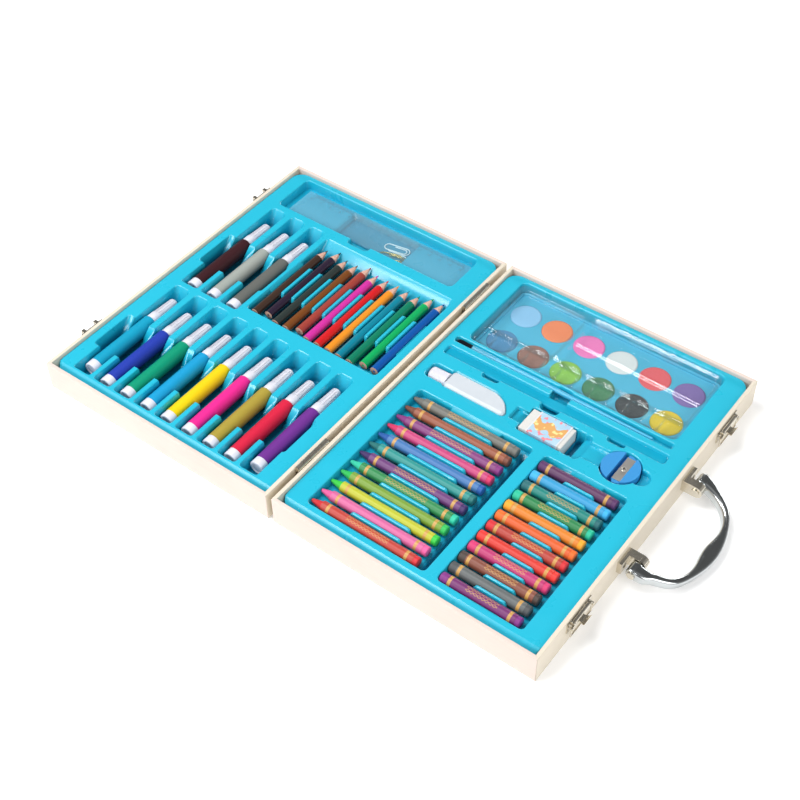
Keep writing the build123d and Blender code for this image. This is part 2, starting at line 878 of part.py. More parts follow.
def make_eraser(nodes):
    """Block eraser in a card sleeve."""
    x0 = eraser_x0 + lip + seat_gap / 2
    z0 = eraser_level()
    y0 = supplies_y - eraser_width / 2
    rubber = block(x0, x0 + eraser_length, y0, y0 + eraser_width, z0, z0 + eraser_height)
    rubber = fillet(rubber.edges(), eraser_edge)
    fit = pin_fit
    tube = block(x0 + sleeve_start, x0 + sleeve_start + sleeve_length,
                 y0 - fit - sleeve_t, y0 + eraser_width + fit + sleeve_t,
                 z0 - fit - sleeve_t, z0 + eraser_height + fit + sleeve_t)
    core = block(x0, x0 + eraser_length, y0 - fit, y0 + eraser_width + fit,
                 z0 - fit, z0 + eraser_height + fit)
    nodes["eraser"] = rubber
    nodes["eraser_sleeve"] = tube - core


def sharpener_level():
    """Underside of the sharpener."""
    return deck_z + sharpener_proud - sharpener_height


def make_sharpener(nodes):
    """Round sharpener: a cone hole from the side, a shaving gap, and a screwed down blade."""
    z0 = sharpener_level()
    top = z0 + sharpener_height
    disc = Pos(sharpener_x, supplies_y, z0 + sharpener_height / 2) * Cylinder(
        sharpener_d / 2, sharpener_height)
    blade_x0 = sharpener_x + blade_offset - blade_width / 2 + shaving_gap / 2
    blade_x1 = blade_x0 + blade_width
    seat = block(blade_x0 - shaving_gap, blade_x1 + seat_gap / 2, supplies_y - sharpener_d,
                 supplies_y + sharpener_d, top - blade_t - screw_head_t, top + 1)
    gap = block(blade_x0 - shaving_gap, blade_x0, supplies_y - sharpener_d,
                supplies_y + sharpener_d, top - shaving_depth, top)
    cone = along_y(blade_x0, supplies_y - sharpener_d / 2 - 1, top - sharpener_hole_depth)
    cone = cone * turned([(0, sharpener_hole_d / 2),
                          (sharpener_d - 2, sharpener_hole_tip_d / 2)])
    screw_x = (blade_x0 + blade_x1) / 2
    blade_z = top - blade_t - screw_head_t
    hole = Pos(screw_x, supplies_y, blade_z) * Cylinder(sharpener_screw_d / 2 + pin_fit,
                                                        2 * sharpener_screw_length)
    nodes["sharpener_body"] = disc - [seat, gap, cone, hole]
    blade = block(blade_x0, blade_x1, supplies_y - blade_length / 2,
                  supplies_y + blade_length / 2, blade_z, blade_z + blade_t)
    nodes["sharpener_blade"] = blade - hole
    shank = Pos(screw_x, supplies_y, blade_z + blade_t - sharpener_screw_length / 2) * Cylinder(
        sharpener_screw_d / 2, sharpener_screw_length)
    head = Pos(screw_x, supplies_y, blade_z + blade_t + screw_head_t / 2) * Cylinder(
        screw_head_d / 2, screw_head_t)
    slot = block(screw_x - screw_head_d, screw_x + screw_head_d, supplies_y - screw_slot / 2,
                 supplies_y + screw_slot / 2, blade_z + blade_t + screw_head_t / 2,
                 blade_z + blade_t + screw_head_t)
    nodes["sharpener_screw"] = shank + head - slot


# Mixing stick and brush

def bar_top():
    """Top of the mixing stick."""
    return deck_z - bar_drop


def make_mixing_stick(nodes):
    """Flat bar with rounded ends."""
    x0 = slot_x0 + bar_room
    bar = outline(x0, x0 + bar_length, bar_y0 + bar_room, bar_y1 - bar_room,
                  bar_top() - bar_t, bar_corner)
    rims = extrude(bar, bar_t).edges().group_by(Axis.Z)[-1]
    nodes["mixing_stick"] = chamfer(rims, bar_edge)


def tuft_strands(x0):
    """Fine square strands along -X, longest in the middle, on a slice of their root."""
    radius = tuft_d / 2
    steps = int(radius / strand_pitch) + 1
    strands = []
    for row in range(-steps, steps + 1):
        for column in range(-steps, steps + 1):
            y = row * strand_pitch
            z = column * strand_pitch
            reach = math.hypot(y, z)
            if reach > radius:
                continue
            tip = tuft_length * (1 - tuft_taper * (reach / radius) ** 3)
            strands.append(block(x0 - tip, x0 + strand_bite, y - strand_width / 2,
                                 y + strand_width / 2, z - strand_width / 2,
                                 z + strand_width / 2))
    print("brush strands", len(strands))
    root = rod_x(x0, x0 + tuft_root, 0, 0, tuft_d)
    return root + strands


def make_brush(nodes):
    """Round brush: hair tuft, clear ferrule and a tapered handle."""
    y = (brush_y0 + brush_y1) / 2
    place = Pos(slot_x0 + bar_room + tuft_length, y, brush_z)
    nodes["brush_bristles"] = place * tuft_strands(0)
    inner = handle_d / 2 - ferrule_wall
    nodes["brush_ferrule"] = place * turned_ring([
        (0, tuft_d / 2 + pin_fit), (tuft_root + pin_fit, tuft_d / 2 + pin_fit),
        (tuft_root + pin_fit, inner), (ferrule_length, inner),
        (ferrule_length, ferrule_d / 2), (ferrule_crimp, ferrule_tip_d / 2),
        (0, ferrule_tip_d / 2),
    ])
    end = ferrule_length + brush_handle_length
    nodes["brush_handle"] = place * turned([
        (ferrule_length - brush_plug_length, inner - pin_fit), (ferrule_length, inner - pin_fit),
        (ferrule_length, handle_d / 2), (ferrule_length + brush_straight, handle_d / 2),
        (end - brush_tail_edge, brush_tail_d / 2), (end, brush_tail_d / 2 - brush_tail_edge),
    ])


# Paint palette

def pan_places(z):
    """Middles of the twelve pans at height z."""
    return [Pos(palette_x0 + pan_first + column * pan_pitch,
                palette_y0 + pan_near + row * pan_row_pitch, z)
            for row in range(2) for column in range(pan_count)]


def make_palette(nodes):
    """Moulded plate with a raised rim and twelve round pans of colour."""
    inset = lean(palette_drop) + seat_gap
    x0, x1 = palette_x0 + inset, palette_x1 - inset
    y0, y1 = palette_y0 + inset, palette_y1 - inset
    z0 = palette_floor + seat_gap
    full = extrude(outline(x0, x1, y0, y1, z0, palette_corner), palette_t + palette_rim_rise)
    rim = palette_rim
    dish = extrude(outline(x0 + rim, x1 - rim, y0 + rim, y1 - rim, palette_top,
                           palette_corner - rim), palette_rim_rise)
    seats = [place * Cylinder(pan_d / 2 + pan_fit, pan_depth, align=(Align.CENTER, Align.CENTER,
                                                                   Align.MAX))
             for place in pan_places(palette_top)]
    nodes["paint_palette"] = full - dish - seats
    height = pan_depth + pan_proud
    paint = turned([(0, pan_d / 2), (height - cake_edge, pan_d / 2),
                    (height, pan_d / 2 - cake_rim), (height - cake_dish, cake_edge)])
    upright = Rot(0, -90, 0)
    nodes["paint_pans"] = group(place * upright * paint
                                for place in pan_places(palette_top - pan_depth))


def cover_wells(x0, x1, y0, y1, floor):
    """Two large mixing wells behind a row of small ones."""
    wells = []
    split = x0 + cover_rim + cover_split
    big_y0 = y0 + cover_rim + cover_small_width + cover_row_gap
    big_x1 = x1 - cover_rim - cover_row_gap
    wells.append(Well(x0 + cover_rib, split, big_y0, y1 - cover_rib, floor))
    wells.append(Well(split + cover_rib, big_x1, big_y0, y1 - cover_rib, floor))
    pitch = (x1 - x0 - 2 * cover_rim) / cover_small_count
    for index in range(cover_small_count):
        start = x0 + cover_rim + index * pitch
        wells.append(Well(start + cover_small_gap, start + pitch - cover_small_gap,
                          y0 + cover_rim, y0 + cover_small_width, floor))
    return wells


def make_palette_cover(nodes):
    """Clear formed cover that lies over the pans and serves for mixing."""
    inset = lean(deck_z - cover_foot) + seat_gap
    x0, x1 = palette_x0 + inset, palette_x1 - inset
    y0, y1 = palette_y0 + inset, palette_y1 - inset
    sheet = Sheet(cover_foot + cover_rise, cover_t, cover_lip)
    floor = cover_foot + cover_t
    nodes["palette_cover"] = formed_sheet((x0, x1, y0, y1), cover_foot, palette_corner, 0, sheet,
                                          cover_wells(x0, x1, y0, y1, floor))


# Base insert

def base_wells():
    """All straight sided pockets of the base insert."""
    crayon_floor = crayon_z - crayon_d / 2 - seat_gap
    pastel_floor = crayon_z - pastel_d / 2 - seat_gap
    finger_x1 = crayon_x1 - finger_zone_back
    y = supplies_y
    glue_floor = glue_level() - seat_gap
    cap_half = glue_cap_d / 2 + 1
    sleeve_half = eraser_width / 2 + sleeve_t + seat_gap + lip
    bar_floor = bar_top() - bar_t - seat_gap
    bar_x1 = slot_x0 + bar_slot
    wells = [
        Well(crayon_x0, crayon_x1, sticks_y0, sticks_y1, crayon_floor),
        Well(finger_x1 - finger_zone, finger_x1, sticks_y0 + finger_zone_end,
             sticks_y1 - finger_zone_end, deck_z - finger_zone_drop, small_corner),
        Well(pastel_x0, pastel_x1, sticks_y0, sticks_y1, pastel_floor),
        Well(glue_x0, glue_x0 + glue_cap_length + 2 * glue_room, y - cap_half, y + cap_half,
             glue_floor, wide_corner),
        Well(glue_x1 - lip, eraser_x0 + lip, y - bridge_width / 2, y + bridge_width / 2,
             deck_z - bridge_drop, lip),
        Well(eraser_x0, eraser_x1, y - sleeve_half, y + sleeve_half,
             eraser_level() - sleeve_t - pin_fit - seat_gap, small_corner),
        Well(eraser_x1 - lip, gap_x1, y - sleeve_half, y + sleeve_half, deck_z - gap_drop,
             small_corner),
        Well(gap_x1 - lip, step_x1, y - sleeve_half, y + sleeve_half, deck_z - step_drop,
             wide_corner),
        Well(step_x1 - lip, sharpener_x, y - channel_width / 2, y + channel_width / 2,
             deck_z - channel_drop, lip),
        RoundWell(sharpener_x, y, sharpener_d / 2 + seat_gap + lean(sharpener_height),
                  sharpener_level() - seat_gap),
        RoundWell(sharpener_x + notch_offset, y, notch_r, deck_z - step_drop),
        Well(slot_x0, bar_x1, bar_y0, bar_y1, bar_floor, small_corner),
        Well(slot_x0 - brush_slot_back, slot_x0 + brush_slot_length, brush_y0, brush_y1,
             brush_z - ferrule_tip_d / 2 - seat_gap, small_corner),
    ]
    notch_y0 = bar_y0 - side_notch_reach
    wells.append(Well(cross_notch_x - cross_notch_width / 2,
                      cross_notch_x + cross_notch_width / 2, notch_y0 - cross_notch_past,
                      brush_y1 + lip, deck_z - cross_notch_drop, wide_corner))
    for x0 in (slot_x0 + side_notch_inset, bar_x1 - side_notch_inset - side_notch_length / 2):
        wells.append(Well(x0, x0 + side_notch_length, notch_y0, bar_y0 + lip,
                          deck_z - side_notch_drop))
    wells.append(Well(palette_x0, palette_x1, palette_y0, palette_y1, palette_floor,
                      palette_corner))
    return wells


def make_base_tray(nodes):
    """Formed insert of the base half."""
    glue_boss, glue_bay = glue_well()
    ridges = stick_ridges(crayon_x0 + crayon_ridge_start, crayon_ridge_length, crayon_d)
    ridges += stick_ridges(pastel_x0 + pastel_ridge_start, pastel_ridge_length, pastel_d)
    nodes["base_tray"] = formed_sheet(
        (back_x, front_x, -tray_length / 2, tray_length / 2), panel_t, tray_corner,
        tray_near_slope, Sheet(deck_z, sheet_t, lip), base_wells(), [glue_boss], [glue_bay],
        ridges)


# Markers

def marker_columns_of(row):
    """Number of markers in the lower row (0) or the upper row (1)."""
    return marker_columns if row == 0 else marker_upper_columns


def marker_places():
    """Plug end of every marker; a few lie pushed forward in their slots."""
    places = []
    for row in range(2):
        for column in range(marker_columns_of(row)):
            x = marker_x + column * marker_pitch
            pushed = marker_push if row == 0 and column in (0, marker_columns - 1) else 0
            places.append(along_y(x, marker_rows_y[row] + marker_near_room + pushed, marker_z))
    return places


def make_markers(nodes):
    """Barrel, plug, cap, nib and ink core of each marker, turned about its own axis."""
    barrel_end = marker_length - marker_cap_length
    bore = marker_d / 2 - marker_wall
    neck_end = barrel_end + marker_neck_length
    fit = pin_fit
    nib_r = marker_nib_d / 2
    barrel = turned_ring([
        (marker_plug_length, bore), (barrel_end - marker_cap_wall, bore),
        (barrel_end - marker_cap_wall, nib_r + fit),
        (neck_end, nib_r + fit), (neck_end, marker_neck_d / 2), (barrel_end, marker_neck_d / 2),
        (barrel_end, marker_d / 2 - marker_edge), (barrel_end - marker_edge, marker_d / 2),
        (marker_plug_length, marker_d / 2),
    ])
    plug = turned([(0, marker_plug_d / 2 - marker_end_edge), (marker_end_edge, marker_plug_d / 2),
                   (marker_plug_length - fit, marker_plug_d / 2),
                   (marker_plug_length - fit, bore - fit),
                   (marker_plug_length + marker_spigot, bore - fit)])
    cap_start = barrel_end + fit
    cap_bore = marker_neck_d / 2 + fit
    cap_step = neck_end + marker_nib_room
    cap_deep = cap_step + marker_nib_out
    nib_bore = nib_r + marker_nib_room
    taper_r = marker_cap_tip_d / 2
    collar_end = cap_start + marker_collar
    cap = turned_ring([
        (cap_start, cap_bore), (cap_step, cap_bore), (cap_step, nib_bore),
        (cap_deep, nib_bore), (cap_deep, 0), (marker_length, 0),
        (marker_length, taper_r - marker_cap_round),
        (marker_length - marker_edge, taper_r - marker_edge),
        (marker_length - marker_cap_round, taper_r),
        (collar_end, marker_cap_d / 2 - marker_collar_step),
        (collar_end, marker_cap_d / 2), (cap_start, marker_cap_d / 2),
    ])
    nib_end = neck_end + marker_nib_out
    nib = turned([(nib_end - marker_nib_length, nib_r), (nib_end - marker_nib_point, nib_r),
                  (nib_end, nib_r / 2)])
    core = turned([(marker_plug_length + marker_spigot + fit, bore - marker_core_play),
                   (nib_end - marker_nib_length - fit, bore - marker_core_play)])
    pieces = {"marker_barrels": barrel, "marker_plugs": plug, "marker_caps": cap,
              "marker_nibs": nib, "marker_ink_cores": core}
    for name, piece in pieces.items():
        nodes[name] = group(place * piece for place in marker_places())


def marker_wells(row):
    """Cap slots, holder slots and the open trough of one row of markers."""
    floor = marker_z - marker_d / 2 - seat_gap
    y0 = marker_rows_y[row]
    y1 = y0 + marker_slot
    trough_y0 = y0 + marker_finger_length
    trough_y1 = trough_y0 + marker_trough_length
    columns = marker_columns_of(row)
    wells = []
    for column in range(columns):
        x = marker_x + column * marker_pitch
        half = marker_slot_width / 2
        holder_half = (marker_pitch - marker_finger) / 2
        wells.append(Well(x - half, x + half, trough_y1 - marker_slope - middle_corner, y1, floor,
                          wide_corner, 0, marker_slot_slope))
        wells.append(Well(x - holder_half, x + holder_half, y0, trough_y0 + middle_corner, floor,
                          small_corner))
    x0 = marker_x - marker_slot_width / 2 - marker_notch_back
    x1 = marker_x + (columns - 1) * marker_pitch + marker_slot_width / 2 + marker_notch_front
    wells.append(Well(x0, x1, trough_y0, trough_y1, floor, middle_corner, 0, marker_slope))
    return wells


# Pencils

def pencil_places():
    """Blunt end of every pencil; some lie further forward than others."""
    places = []
    for index in range(pencil_count):
        x = pencil_x0 + pencil_front_room + pencil_d / 2 + index * pencil_pitch
        forward = index in (1, 4, pencil_count - 2, pencil_count - 1)
        pushed = pencil_push if forward else 0
        places.append(along_y(x, pencil_y0 + pencil_near_room + pushed, pencil_z))
    return places


def make_pencils(nodes):
    """Wooden casings with a cut cone, and the leads through them."""
    cone_start = pencil_length - pencil_cone - pencil_lead_out
    wood_end = pencil_length - pencil_lead_out
    bore = pencil_lead_d / 2 + pin_fit
    casing = turned_ring([(0, bore), (wood_end, bore), (wood_end, bore + 2 * pin_fit),
                          (cone_start, pencil_d / 2), (0, pencil_d / 2)])
    lead = turned([(0, pencil_lead_d / 2), (wood_end, pencil_lead_d / 2),
                   (pencil_length, pencil_lead_tip_d / 2)])
    nodes["pencil_casings"] = group(place * casing for place in pencil_places())
    nodes["pencil_leads"] = group(place * lead for place in pencil_places())


def pencil_ridges():
    """Uprights between neighbouring pencils."""
    floor = pencil_z - pencil_d / 2 - seat_gap
    y0 = pencil_y0 + pencil_ridge_start
    y1 = y0 + pencil_ridge_length
    clear = pencil_d / 2 + seat_gap
    reach = pencil_d / 2 + ridge_gap
    first = pencil_x0 + pencil_front_room + pencil_d / 2
    ridges = []
    for index in range(pencil_count - 1):
        x0 = first + index * pencil_pitch + reach
        x1 = first + (index + 1) * pencil_pitch - reach
        ridges.append(ridge(x0, x1, y0, y1, floor, deck_z + pencil_ridge_rise))
    ridges.append(block(pencil_x0 - lip, first - clear, y0, y1, floor - sheet_t / 2,
                        deck_z - lip))
    ridges.append(block(first + (pencil_count - 1) * pencil_pitch + clear, pencil_x1 + lip,
                        y0, y1, floor - sheet_t / 2, deck_z - lip))
    return ridges


# Ruler and paper clips

def ruler_bottom():
    """Underside of the ruler."""
    return deck_z - ruler_drop - ruler_t


def make_ruler(nodes):
    """Clear ruler with a bevelled scale edge."""
    x0 = ruler_x0 + ruler_end_room
    y0 = ruler_y0 + ruler_side_room
    strip = block(x0, x0 + ruler_length, y0, y0 + ruler_width, ruler_bottom(),
                  ruler_bottom() + ruler_t)
    near_top = strip.edges().filter_by(Axis.X).group_by(Axis.Z)[-1]
    nodes["ruler"] = chamfer(near_top, ruler_bevel)


def paper_clip():
    """Wire clip lying flat, with its big bend at +X."""
    right = clip_length - clip_outer_r
    left = clip_middle_r
    inner_right = right - 1
    y1 = clip_outer_r
    y2 = y1 - 2 * clip_middle_r
    y3 = y2 + 2 * clip_inner_r
    path = Wire([
        Edge.make_line((left + clip_end_inset, -y1), (right, -y1)),
        Edge.make_three_point_arc((right, -y1), (right + y1, 0), (right, y1)),
        Edge.make_line((right, y1), (left, y1)),
        Edge.make_three_point_arc((left, y1), (left - clip_middle_r, y1 - clip_middle_r),
                                  (left, y2)),
        Edge.make_line((left, y2), (inner_right, y2)),
        Edge.make_three_point_arc((inner_right, y2), (inner_right + clip_inner_r,
                                                      y2 + clip_inner_r), (inner_right, y3)),
        Edge.make_line((inner_right, y3), (left + clip_inner_inset, y3)),
    ])
    start = Plane(origin=(left + clip_end_inset, -y1, 0), z_dir=(1, 0, 0))
    section = start * Circle(clip_wire_d / 2)
    return sweep(section, path=path)


def make_paper_clips(nodes):
    """Three clips in the bay under the ruler, two of them stacked."""
    low = deck_z - clip_bay_drop + seat_gap + clip_wire_d / 2
    x = ruler_x0 + clip_bay_start + clip_bay_length / 2 + clip_pile_x
    y = (ruler_y0 + ruler_y1) / 2
    layer = clip_wire_d + pin_fit
    nodes["paper_clips"] = group(Pos(x + dx, y + dy, low + level * layer) * Rot(0, 0, turn)
                                 * paper_clip() for dx, dy, level, turn in clip_spots)


# Lid insert

def make_lid_tray(nodes):
    """Formed insert of the lid half."""
    bay_x0 = ruler_x0 + clip_bay_start
    bay_y0 = (ruler_y0 + ruler_y1 - clip_bay_width) / 2
    notch_x0 = ruler_x0 + ruler_notch_start
    ruler_floor = ruler_bottom() - seat_gap
    wells = marker_wells(0) + marker_wells(1) + [
        Well(pencil_x0, pencil_x1, pencil_y0, pencil_y1, pencil_z - pencil_d / 2 - seat_gap,
             middle_corner, 0, pencil_slope),
        Well(ruler_x0, ruler_x1, ruler_y0, ruler_y1, ruler_floor, wide_corner),
        Well(bay_x0, bay_x0 + clip_bay_length, bay_y0, bay_y0 + clip_bay_width,
             deck_z - clip_bay_drop),
        Well(notch_x0, notch_x0 + ruler_notch_length, ruler_y0 - ruler_notch_reach,
             ruler_y0 + small_corner, ruler_floor, wide_corner),
    ]
    nodes["lid_tray"] = formed_sheet(
        (lid_front_x, lid_front_x + tray_depth, -tray_length / 2, tray_length / 2), panel_t,
        tray_corner, tray_near_slope, Sheet(deck_z, sheet_t, lip), wells,
        ridges=pencil_ridges())


# Hinges

def knuckle_span(index):
    """Ends along Y of one knuckle, measured from the hinge's middle."""
    pitch = hinge_length / knuckle_count
    start = -hinge_length / 2 + index * pitch
    return start + knuckle_play / 2, start + pitch - knuckle_play / 2


def hinge_leaf(side, y, owned):
    """Leaf on the base (side 1) or the lid (side -1) with its own knuckles, cleared for the rest."""
    face = hinge_x + side * hinge_gap / 2
    inner = face - side * leaf_t
    low, high = min(face, inner), max(face, inner)
    leaf = block(low, high, y - hinge_length / 2, y + hinge_length / 2,
                 half_height - leaf_height, half_height)
    clear = []
    knuckles = []
    for index in range(knuckle_count):
        start, end = knuckle_span(index)
        if index in owned:
            knuckles.append(rod_y(hinge_x, y + start, y + end, hinge_z, knuckle_d))
        else:
            clear.append(block(low - 1, high + 1, y + start - knuckle_play,
                               y + end + knuckle_play, hinge_z - knuckle_d / 2 - knuckle_play,
                               half_height + 1))
    bore = rod_y(hinge_x, y - hinge_length, y + hinge_length, hinge_z,
                 hinge_pin_d + 2 * pin_fit)
    holes = [place * screw_hole() for place in hinge_screw_places(side)]
    return leaf - clear + knuckles - [bore] - holes


def make_hinges(nodes):
    """Two butt hinges: the base leaf has the outer knuckles, the lid leaf those between."""
    outer = range(0, knuckle_count, 2)
    between = range(1, knuckle_count, 2)
    for name, y in (("near", -hinge_y), ("far", hinge_y)):
        nodes[f"hinge_{name}_base_leaf"] = hinge_leaf(1, y, outer)
        nodes[f"hinge_{name}_lid_leaf"] = hinge_leaf(-1, y, between)
    nodes["hinge_pins"] = group(rod_y(hinge_x, y - hinge_length / 2, y + hinge_length / 2,
                                      hinge_z, hinge_pin_d) for y in (-hinge_y, hinge_y))


# Carrying handle

def handle_edge(start_y, reach, bends):
    """Smooth edge from leg to leg; each bend counts back from the reach and in from the leg."""
    half = [(0, start_y)] + [(reach - back, start_y - inward) for back, inward in bends]
    mirrored = [(x, -y) for x, y in reversed(half)]
    return Spline(*(half + [(reach, 0)] + mirrored), tangents=[(1, 0), (-1, 0)])


def make_handle(nodes):
    """Cast handle with flat legs and a rounded grip, two brackets and their pins."""
    px = outer_x + handle_pivot_out
    plan = make_face([
        handle_edge(handle_outer_y, handle_reach, handle_outer_bends),
        handle_edge(handle_inner_y, handle_grip_reach, handle_inner_bends),
        Line((0, handle_inner_y), (0, handle_outer_y)),
        Line((0, -handle_inner_y), (0, -handle_outer_y))])
    grip = extrude(Pos(0, 0, -handle_t / 2) * plan, handle_t, dir=(0, 0, 1))
    rims = [edge for edge in grip.edges()
            if abs(edge.center().Z) > handle_t / 2 - same_level
            and edge.center().X > same_level]
    grip = fillet(rims, handle_round)
    for side in (-1, 1):
        y0, y1 = sorted((side * handle_inner_y, side * handle_outer_y))
        grip += rod_y(0, y0, y1, 0, handle_t)
    bore = rod_y(0, -2 * handle_outer_y, 2 * handle_outer_y, 0, handle_pin_d + 2 * pin_fit)
    pivot = Pos(px, 0, handle_pivot_z)
    nodes["handle"] = pivot * Rot(0, handle_droop, 0) * (grip - bore)
    pins = []
    for name, side in (("near", -1), ("far", 1)):
        nodes[f"handle_bracket_{name}"] = handle_bracket(side, px) - pivot * bore
        pins.append(handle_pin(side, px))
    nodes["handle_pins"] = group(pins)


def handle_bracket(side, px):
    """Foot screwed to the front board with one ear beside the handle's leg."""
    y0, y1 = sorted((side * ear_y0, side * bracket_y1))
    ear0, ear1 = sorted((side * ear_y0, side * ear_y1))
    z0 = handle_pivot_z - bracket_height / 2
    foot = block(outer_x, outer_x + bracket_t, y0, y1, z0, z0 + bracket_height)
    pad_y = side * (ear_y1 + bracket_y1) / 2
    pocket = rod_x(outer_x + leaf_t, outer_x + bracket_t + 1, pad_y, handle_pivot_z,
                   wood_screw_head_d + 1)
    web = block(outer_x, px, ear0, ear1, handle_pivot_z - ear_r, handle_pivot_z + ear_r)
    boss = rod_y(px, ear0, ear1, handle_pivot_z, 2 * ear_r)
    holes = [place * screw_hole() for place in bracket_screw_places()]
    return foot + [web, boss] - [pocket] - holes


def handle_pin(side, px):
    """Headed pin through the ear and the leg."""
    inner = side * (ear_y0 - handle_pin_head_t)
    outer = side * (handle_outer_y + handle_pin_head_t)
    shank = rod_y(px, min(inner, outer), max(inner, outer), handle_pivot_z, handle_pin_d)
    heads = []
    for y, sign in ((side * ear_y0, -side), (side * handle_outer_y, side)):
        start = y + sign * pin_fit
        end = start + sign * (handle_pin_head_t - pin_fit)
        heads.append(rod_y(px, min(start, end), max(start, end), handle_pivot_z,
                           handle_pin_head_d))
    return shank + heads


# Draw latches

def latch_plate(y):
    """Plate on the front board with two ears for the lever's pin."""
    x = outer_x
    px = x + latch_pivot_out
    plate = block(x, x + latch_plate_t, y - latch_half_width, y + latch_half_width,
                  latch_plate_z0, latch_plate_z1)
    ears = []
    for side in (-1, 1):
        y0, y1 = sorted((y + side * latch_ear_y, y + side * (latch_ear_y + latch_ear_t)))
        ears.append(block(x, px, y0, y1, latch_pivot_z - latch_ear_r,
                          latch_pivot_z + latch_ear_r))
        ears.append(rod_y(px, y0, y1, latch_pivot_z, 2 * latch_ear_r))
    bore = rod_y(px, y - latch_half_width, y + latch_half_width, latch_pivot_z,
                 latch_pin_d + 2 * pin_fit)
    relief = rod_y(px, y - latch_ear_y, y + latch_ear_y, latch_pivot_z,
                   2 * lever_roll_r + seat_gap)
    holes = [place * screw_hole() for place in latch_screw_places()]
    return plate + ears - [bore, relief] - holes


def latch_lever(y):
    """Lever that hangs from its roll, with trunnions for the bail and a curled finger tab."""
    px = outer_x + latch_pivot_out
    bx = outer_x + trunnion_out
    x0 = bx - lever_t / 2
    half = lever_half_width
    roll = rod_y(px, y - half, y + half, latch_pivot_z, 2 * lever_roll_r)
    strap = block(x0, x0 + lever_t, y - half, y + half, lever_z0, latch_pivot_z)
    trunnions = rod_y(bx, y - half - trunnion_length, y + half + trunnion_length, trunnion_z,
                      latch_pin_d)
    tip = outer_x + tab_out
    flare = tip - tab_tip
    waist = tab_end / 2 - tab_hollow
    plan = make_face(Polyline((x0, y - tab_root / 2), (flare, y - waist), (tip, y - tab_end / 2),
                              (tip, y + tab_end / 2), (flare, y + waist), (x0, y + tab_root / 2),
                              close=True))
    middle = (x0 + tip) / 2
    top = ThreePointArc((x0, lever_z0 + tab_t), (middle, lever_z0 + tab_t - tab_sag),
                        (tip, lever_z0 + tab_t + tab_rise))
    under = ThreePointArc((x0, lever_z0), (middle, lever_z0 - tab_sag),
                          (tip, lever_z0 + tab_rise))
    ends = [Line((x, lever_z0 + rise), (x, lever_z0 + tab_t + rise))
            for x, rise in ((x0, 0), (tip, tab_rise))]
    curl = extrude(Plane.XZ.offset(-y) * make_face([top, under] + ends), tab_end, both=True)
    tab = extrude(Pos(0, 0, trunnion_z - tab_end) * plan, 2 * tab_end, dir=(0, 0, 1)) & curl
    bore = rod_y(px, y - latch_half_width, y + latch_half_width, latch_pivot_z,
                 latch_pin_d + 2 * pin_fit)
    return roll + [strap, trunnions, tab] - bore


def latch_bail(y):
    """Wire bail with an eye on each trunnion, hanging down when the case is open."""
    bx = outer_x + trunnion_out
    bottom = trunnion_z - bail_length
    pieces = [rod_y(bx, y - bail_arm_y, y + bail_arm_y, bottom, bail_wire_d)]
    for side in (-1, 1):
        arm_y = y + side * bail_arm_y
        arm = Pos(bx, arm_y, (trunnion_z + bottom) / 2) * Cylinder(bail_wire_d / 2, bail_length)
        eye = rod_y(bx, arm_y - bail_wire_d / 2, arm_y + bail_wire_d / 2, trunnion_z,
                    2 * bail_eye_r)
        corner = Pos(bx, arm_y, bottom) * Sphere(bail_wire_d / 2)
        pieces += [arm, eye, corner]
    bore = rod_y(bx, y - 2 * bail_arm_y, y + 2 * bail_arm_y, trunnion_z,
                 latch_pin_d + 2 * pin_fit)
    return pieces[0] + pieces[1:] - bore


def lid_catch(y):
    """Plate with two hooks that take the bail, modelled where it is with the case closed."""
    bar_z = trunnion_z + bail_length
    z0 = bar_z - bail_wire_d / 2 - catch_bar_gap - catch_hook_t
    lip_x = outer_x + trunnion_out + bail_wire_d / 2 + catch_bar_gap
    plate = block(outer_x, outer_x + catch_plate_t, y - catch_half_width, y + catch_half_width,
                  z0, z0 + catch_height)
    prongs = []
    for side in (-1, 1):
        y0, y1 = sorted((y + side * catch_hook_half_width,
                         y + side * (catch_hook_half_width - catch_prong)))
        prongs.append(block(outer_x, lip_x + catch_hook_t, y0, y1, z0, z0 + catch_hook_t))
        prongs.append(block(lip_x, lip_x + catch_hook_t, y0, y1, z0, z0 + catch_lip_rise))
    holes = [place * screw_hole() for place in catch_screw_places()]
    return to_open(plate + prongs - holes)


def make_latches(nodes):
    """Both draw latches with their pins and catches."""
    pins = []
    for name, y in (("near", -latch_y), ("far", latch_y)):
        nodes[f"latch_{name}_plate"] = latch_plate(y)
        nodes[f"latch_{name}_lever"] = latch_lever(y)
        nodes[f"latch_{name}_bail"] = latch_bail(y)
        nodes[f"lid_catch_{name}"] = lid_catch(y)
        end = latch_ear_y + latch_ear_t
        pins.append(rod_y(outer_x + latch_pivot_out, y - end, y + end, latch_pivot_z,
                          latch_pin_d))
    nodes["latch_pins"] = group(pins)


def make_all():
    """Every node of the case."""
    nodes = {}
    make_halves(nodes)
    make_base_tray(nodes)
    make_lid_tray(nodes)
    make_hinges(nodes)
    make_handle(nodes)
    make_latches(nodes)
    make_sticks(nodes)
    make_glue(nodes)
    make_eraser(nodes)
    make_sharpener(nodes)
    make_mixing_stick(nodes)
    make_brush(nodes)
    make_palette(nodes)
    make_palette_cover(nodes)
    make_markers(nodes)
    make_pencils(nodes)
    make_ruler(nodes)
    make_paper_clips(nodes)
    return nodes


for node_name, shape in make_all().items():
    export_step(shape, f"parts/{node_name}.step")
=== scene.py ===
# %% [markdown]
# An art set case lies open on a pale floor: two shallow wooden halves joined by butt hinges,
# each with a formed blue insert that holds markers, pencils, crayons, pastels and paints.
# The imported CAD model comes in first and stays where it is. Every finish and every piece below
# is made around it, in metres.

# %% Load the frame
import bmesh
import bpy
import json
import math
import random
from mathutils import Matrix, Vector


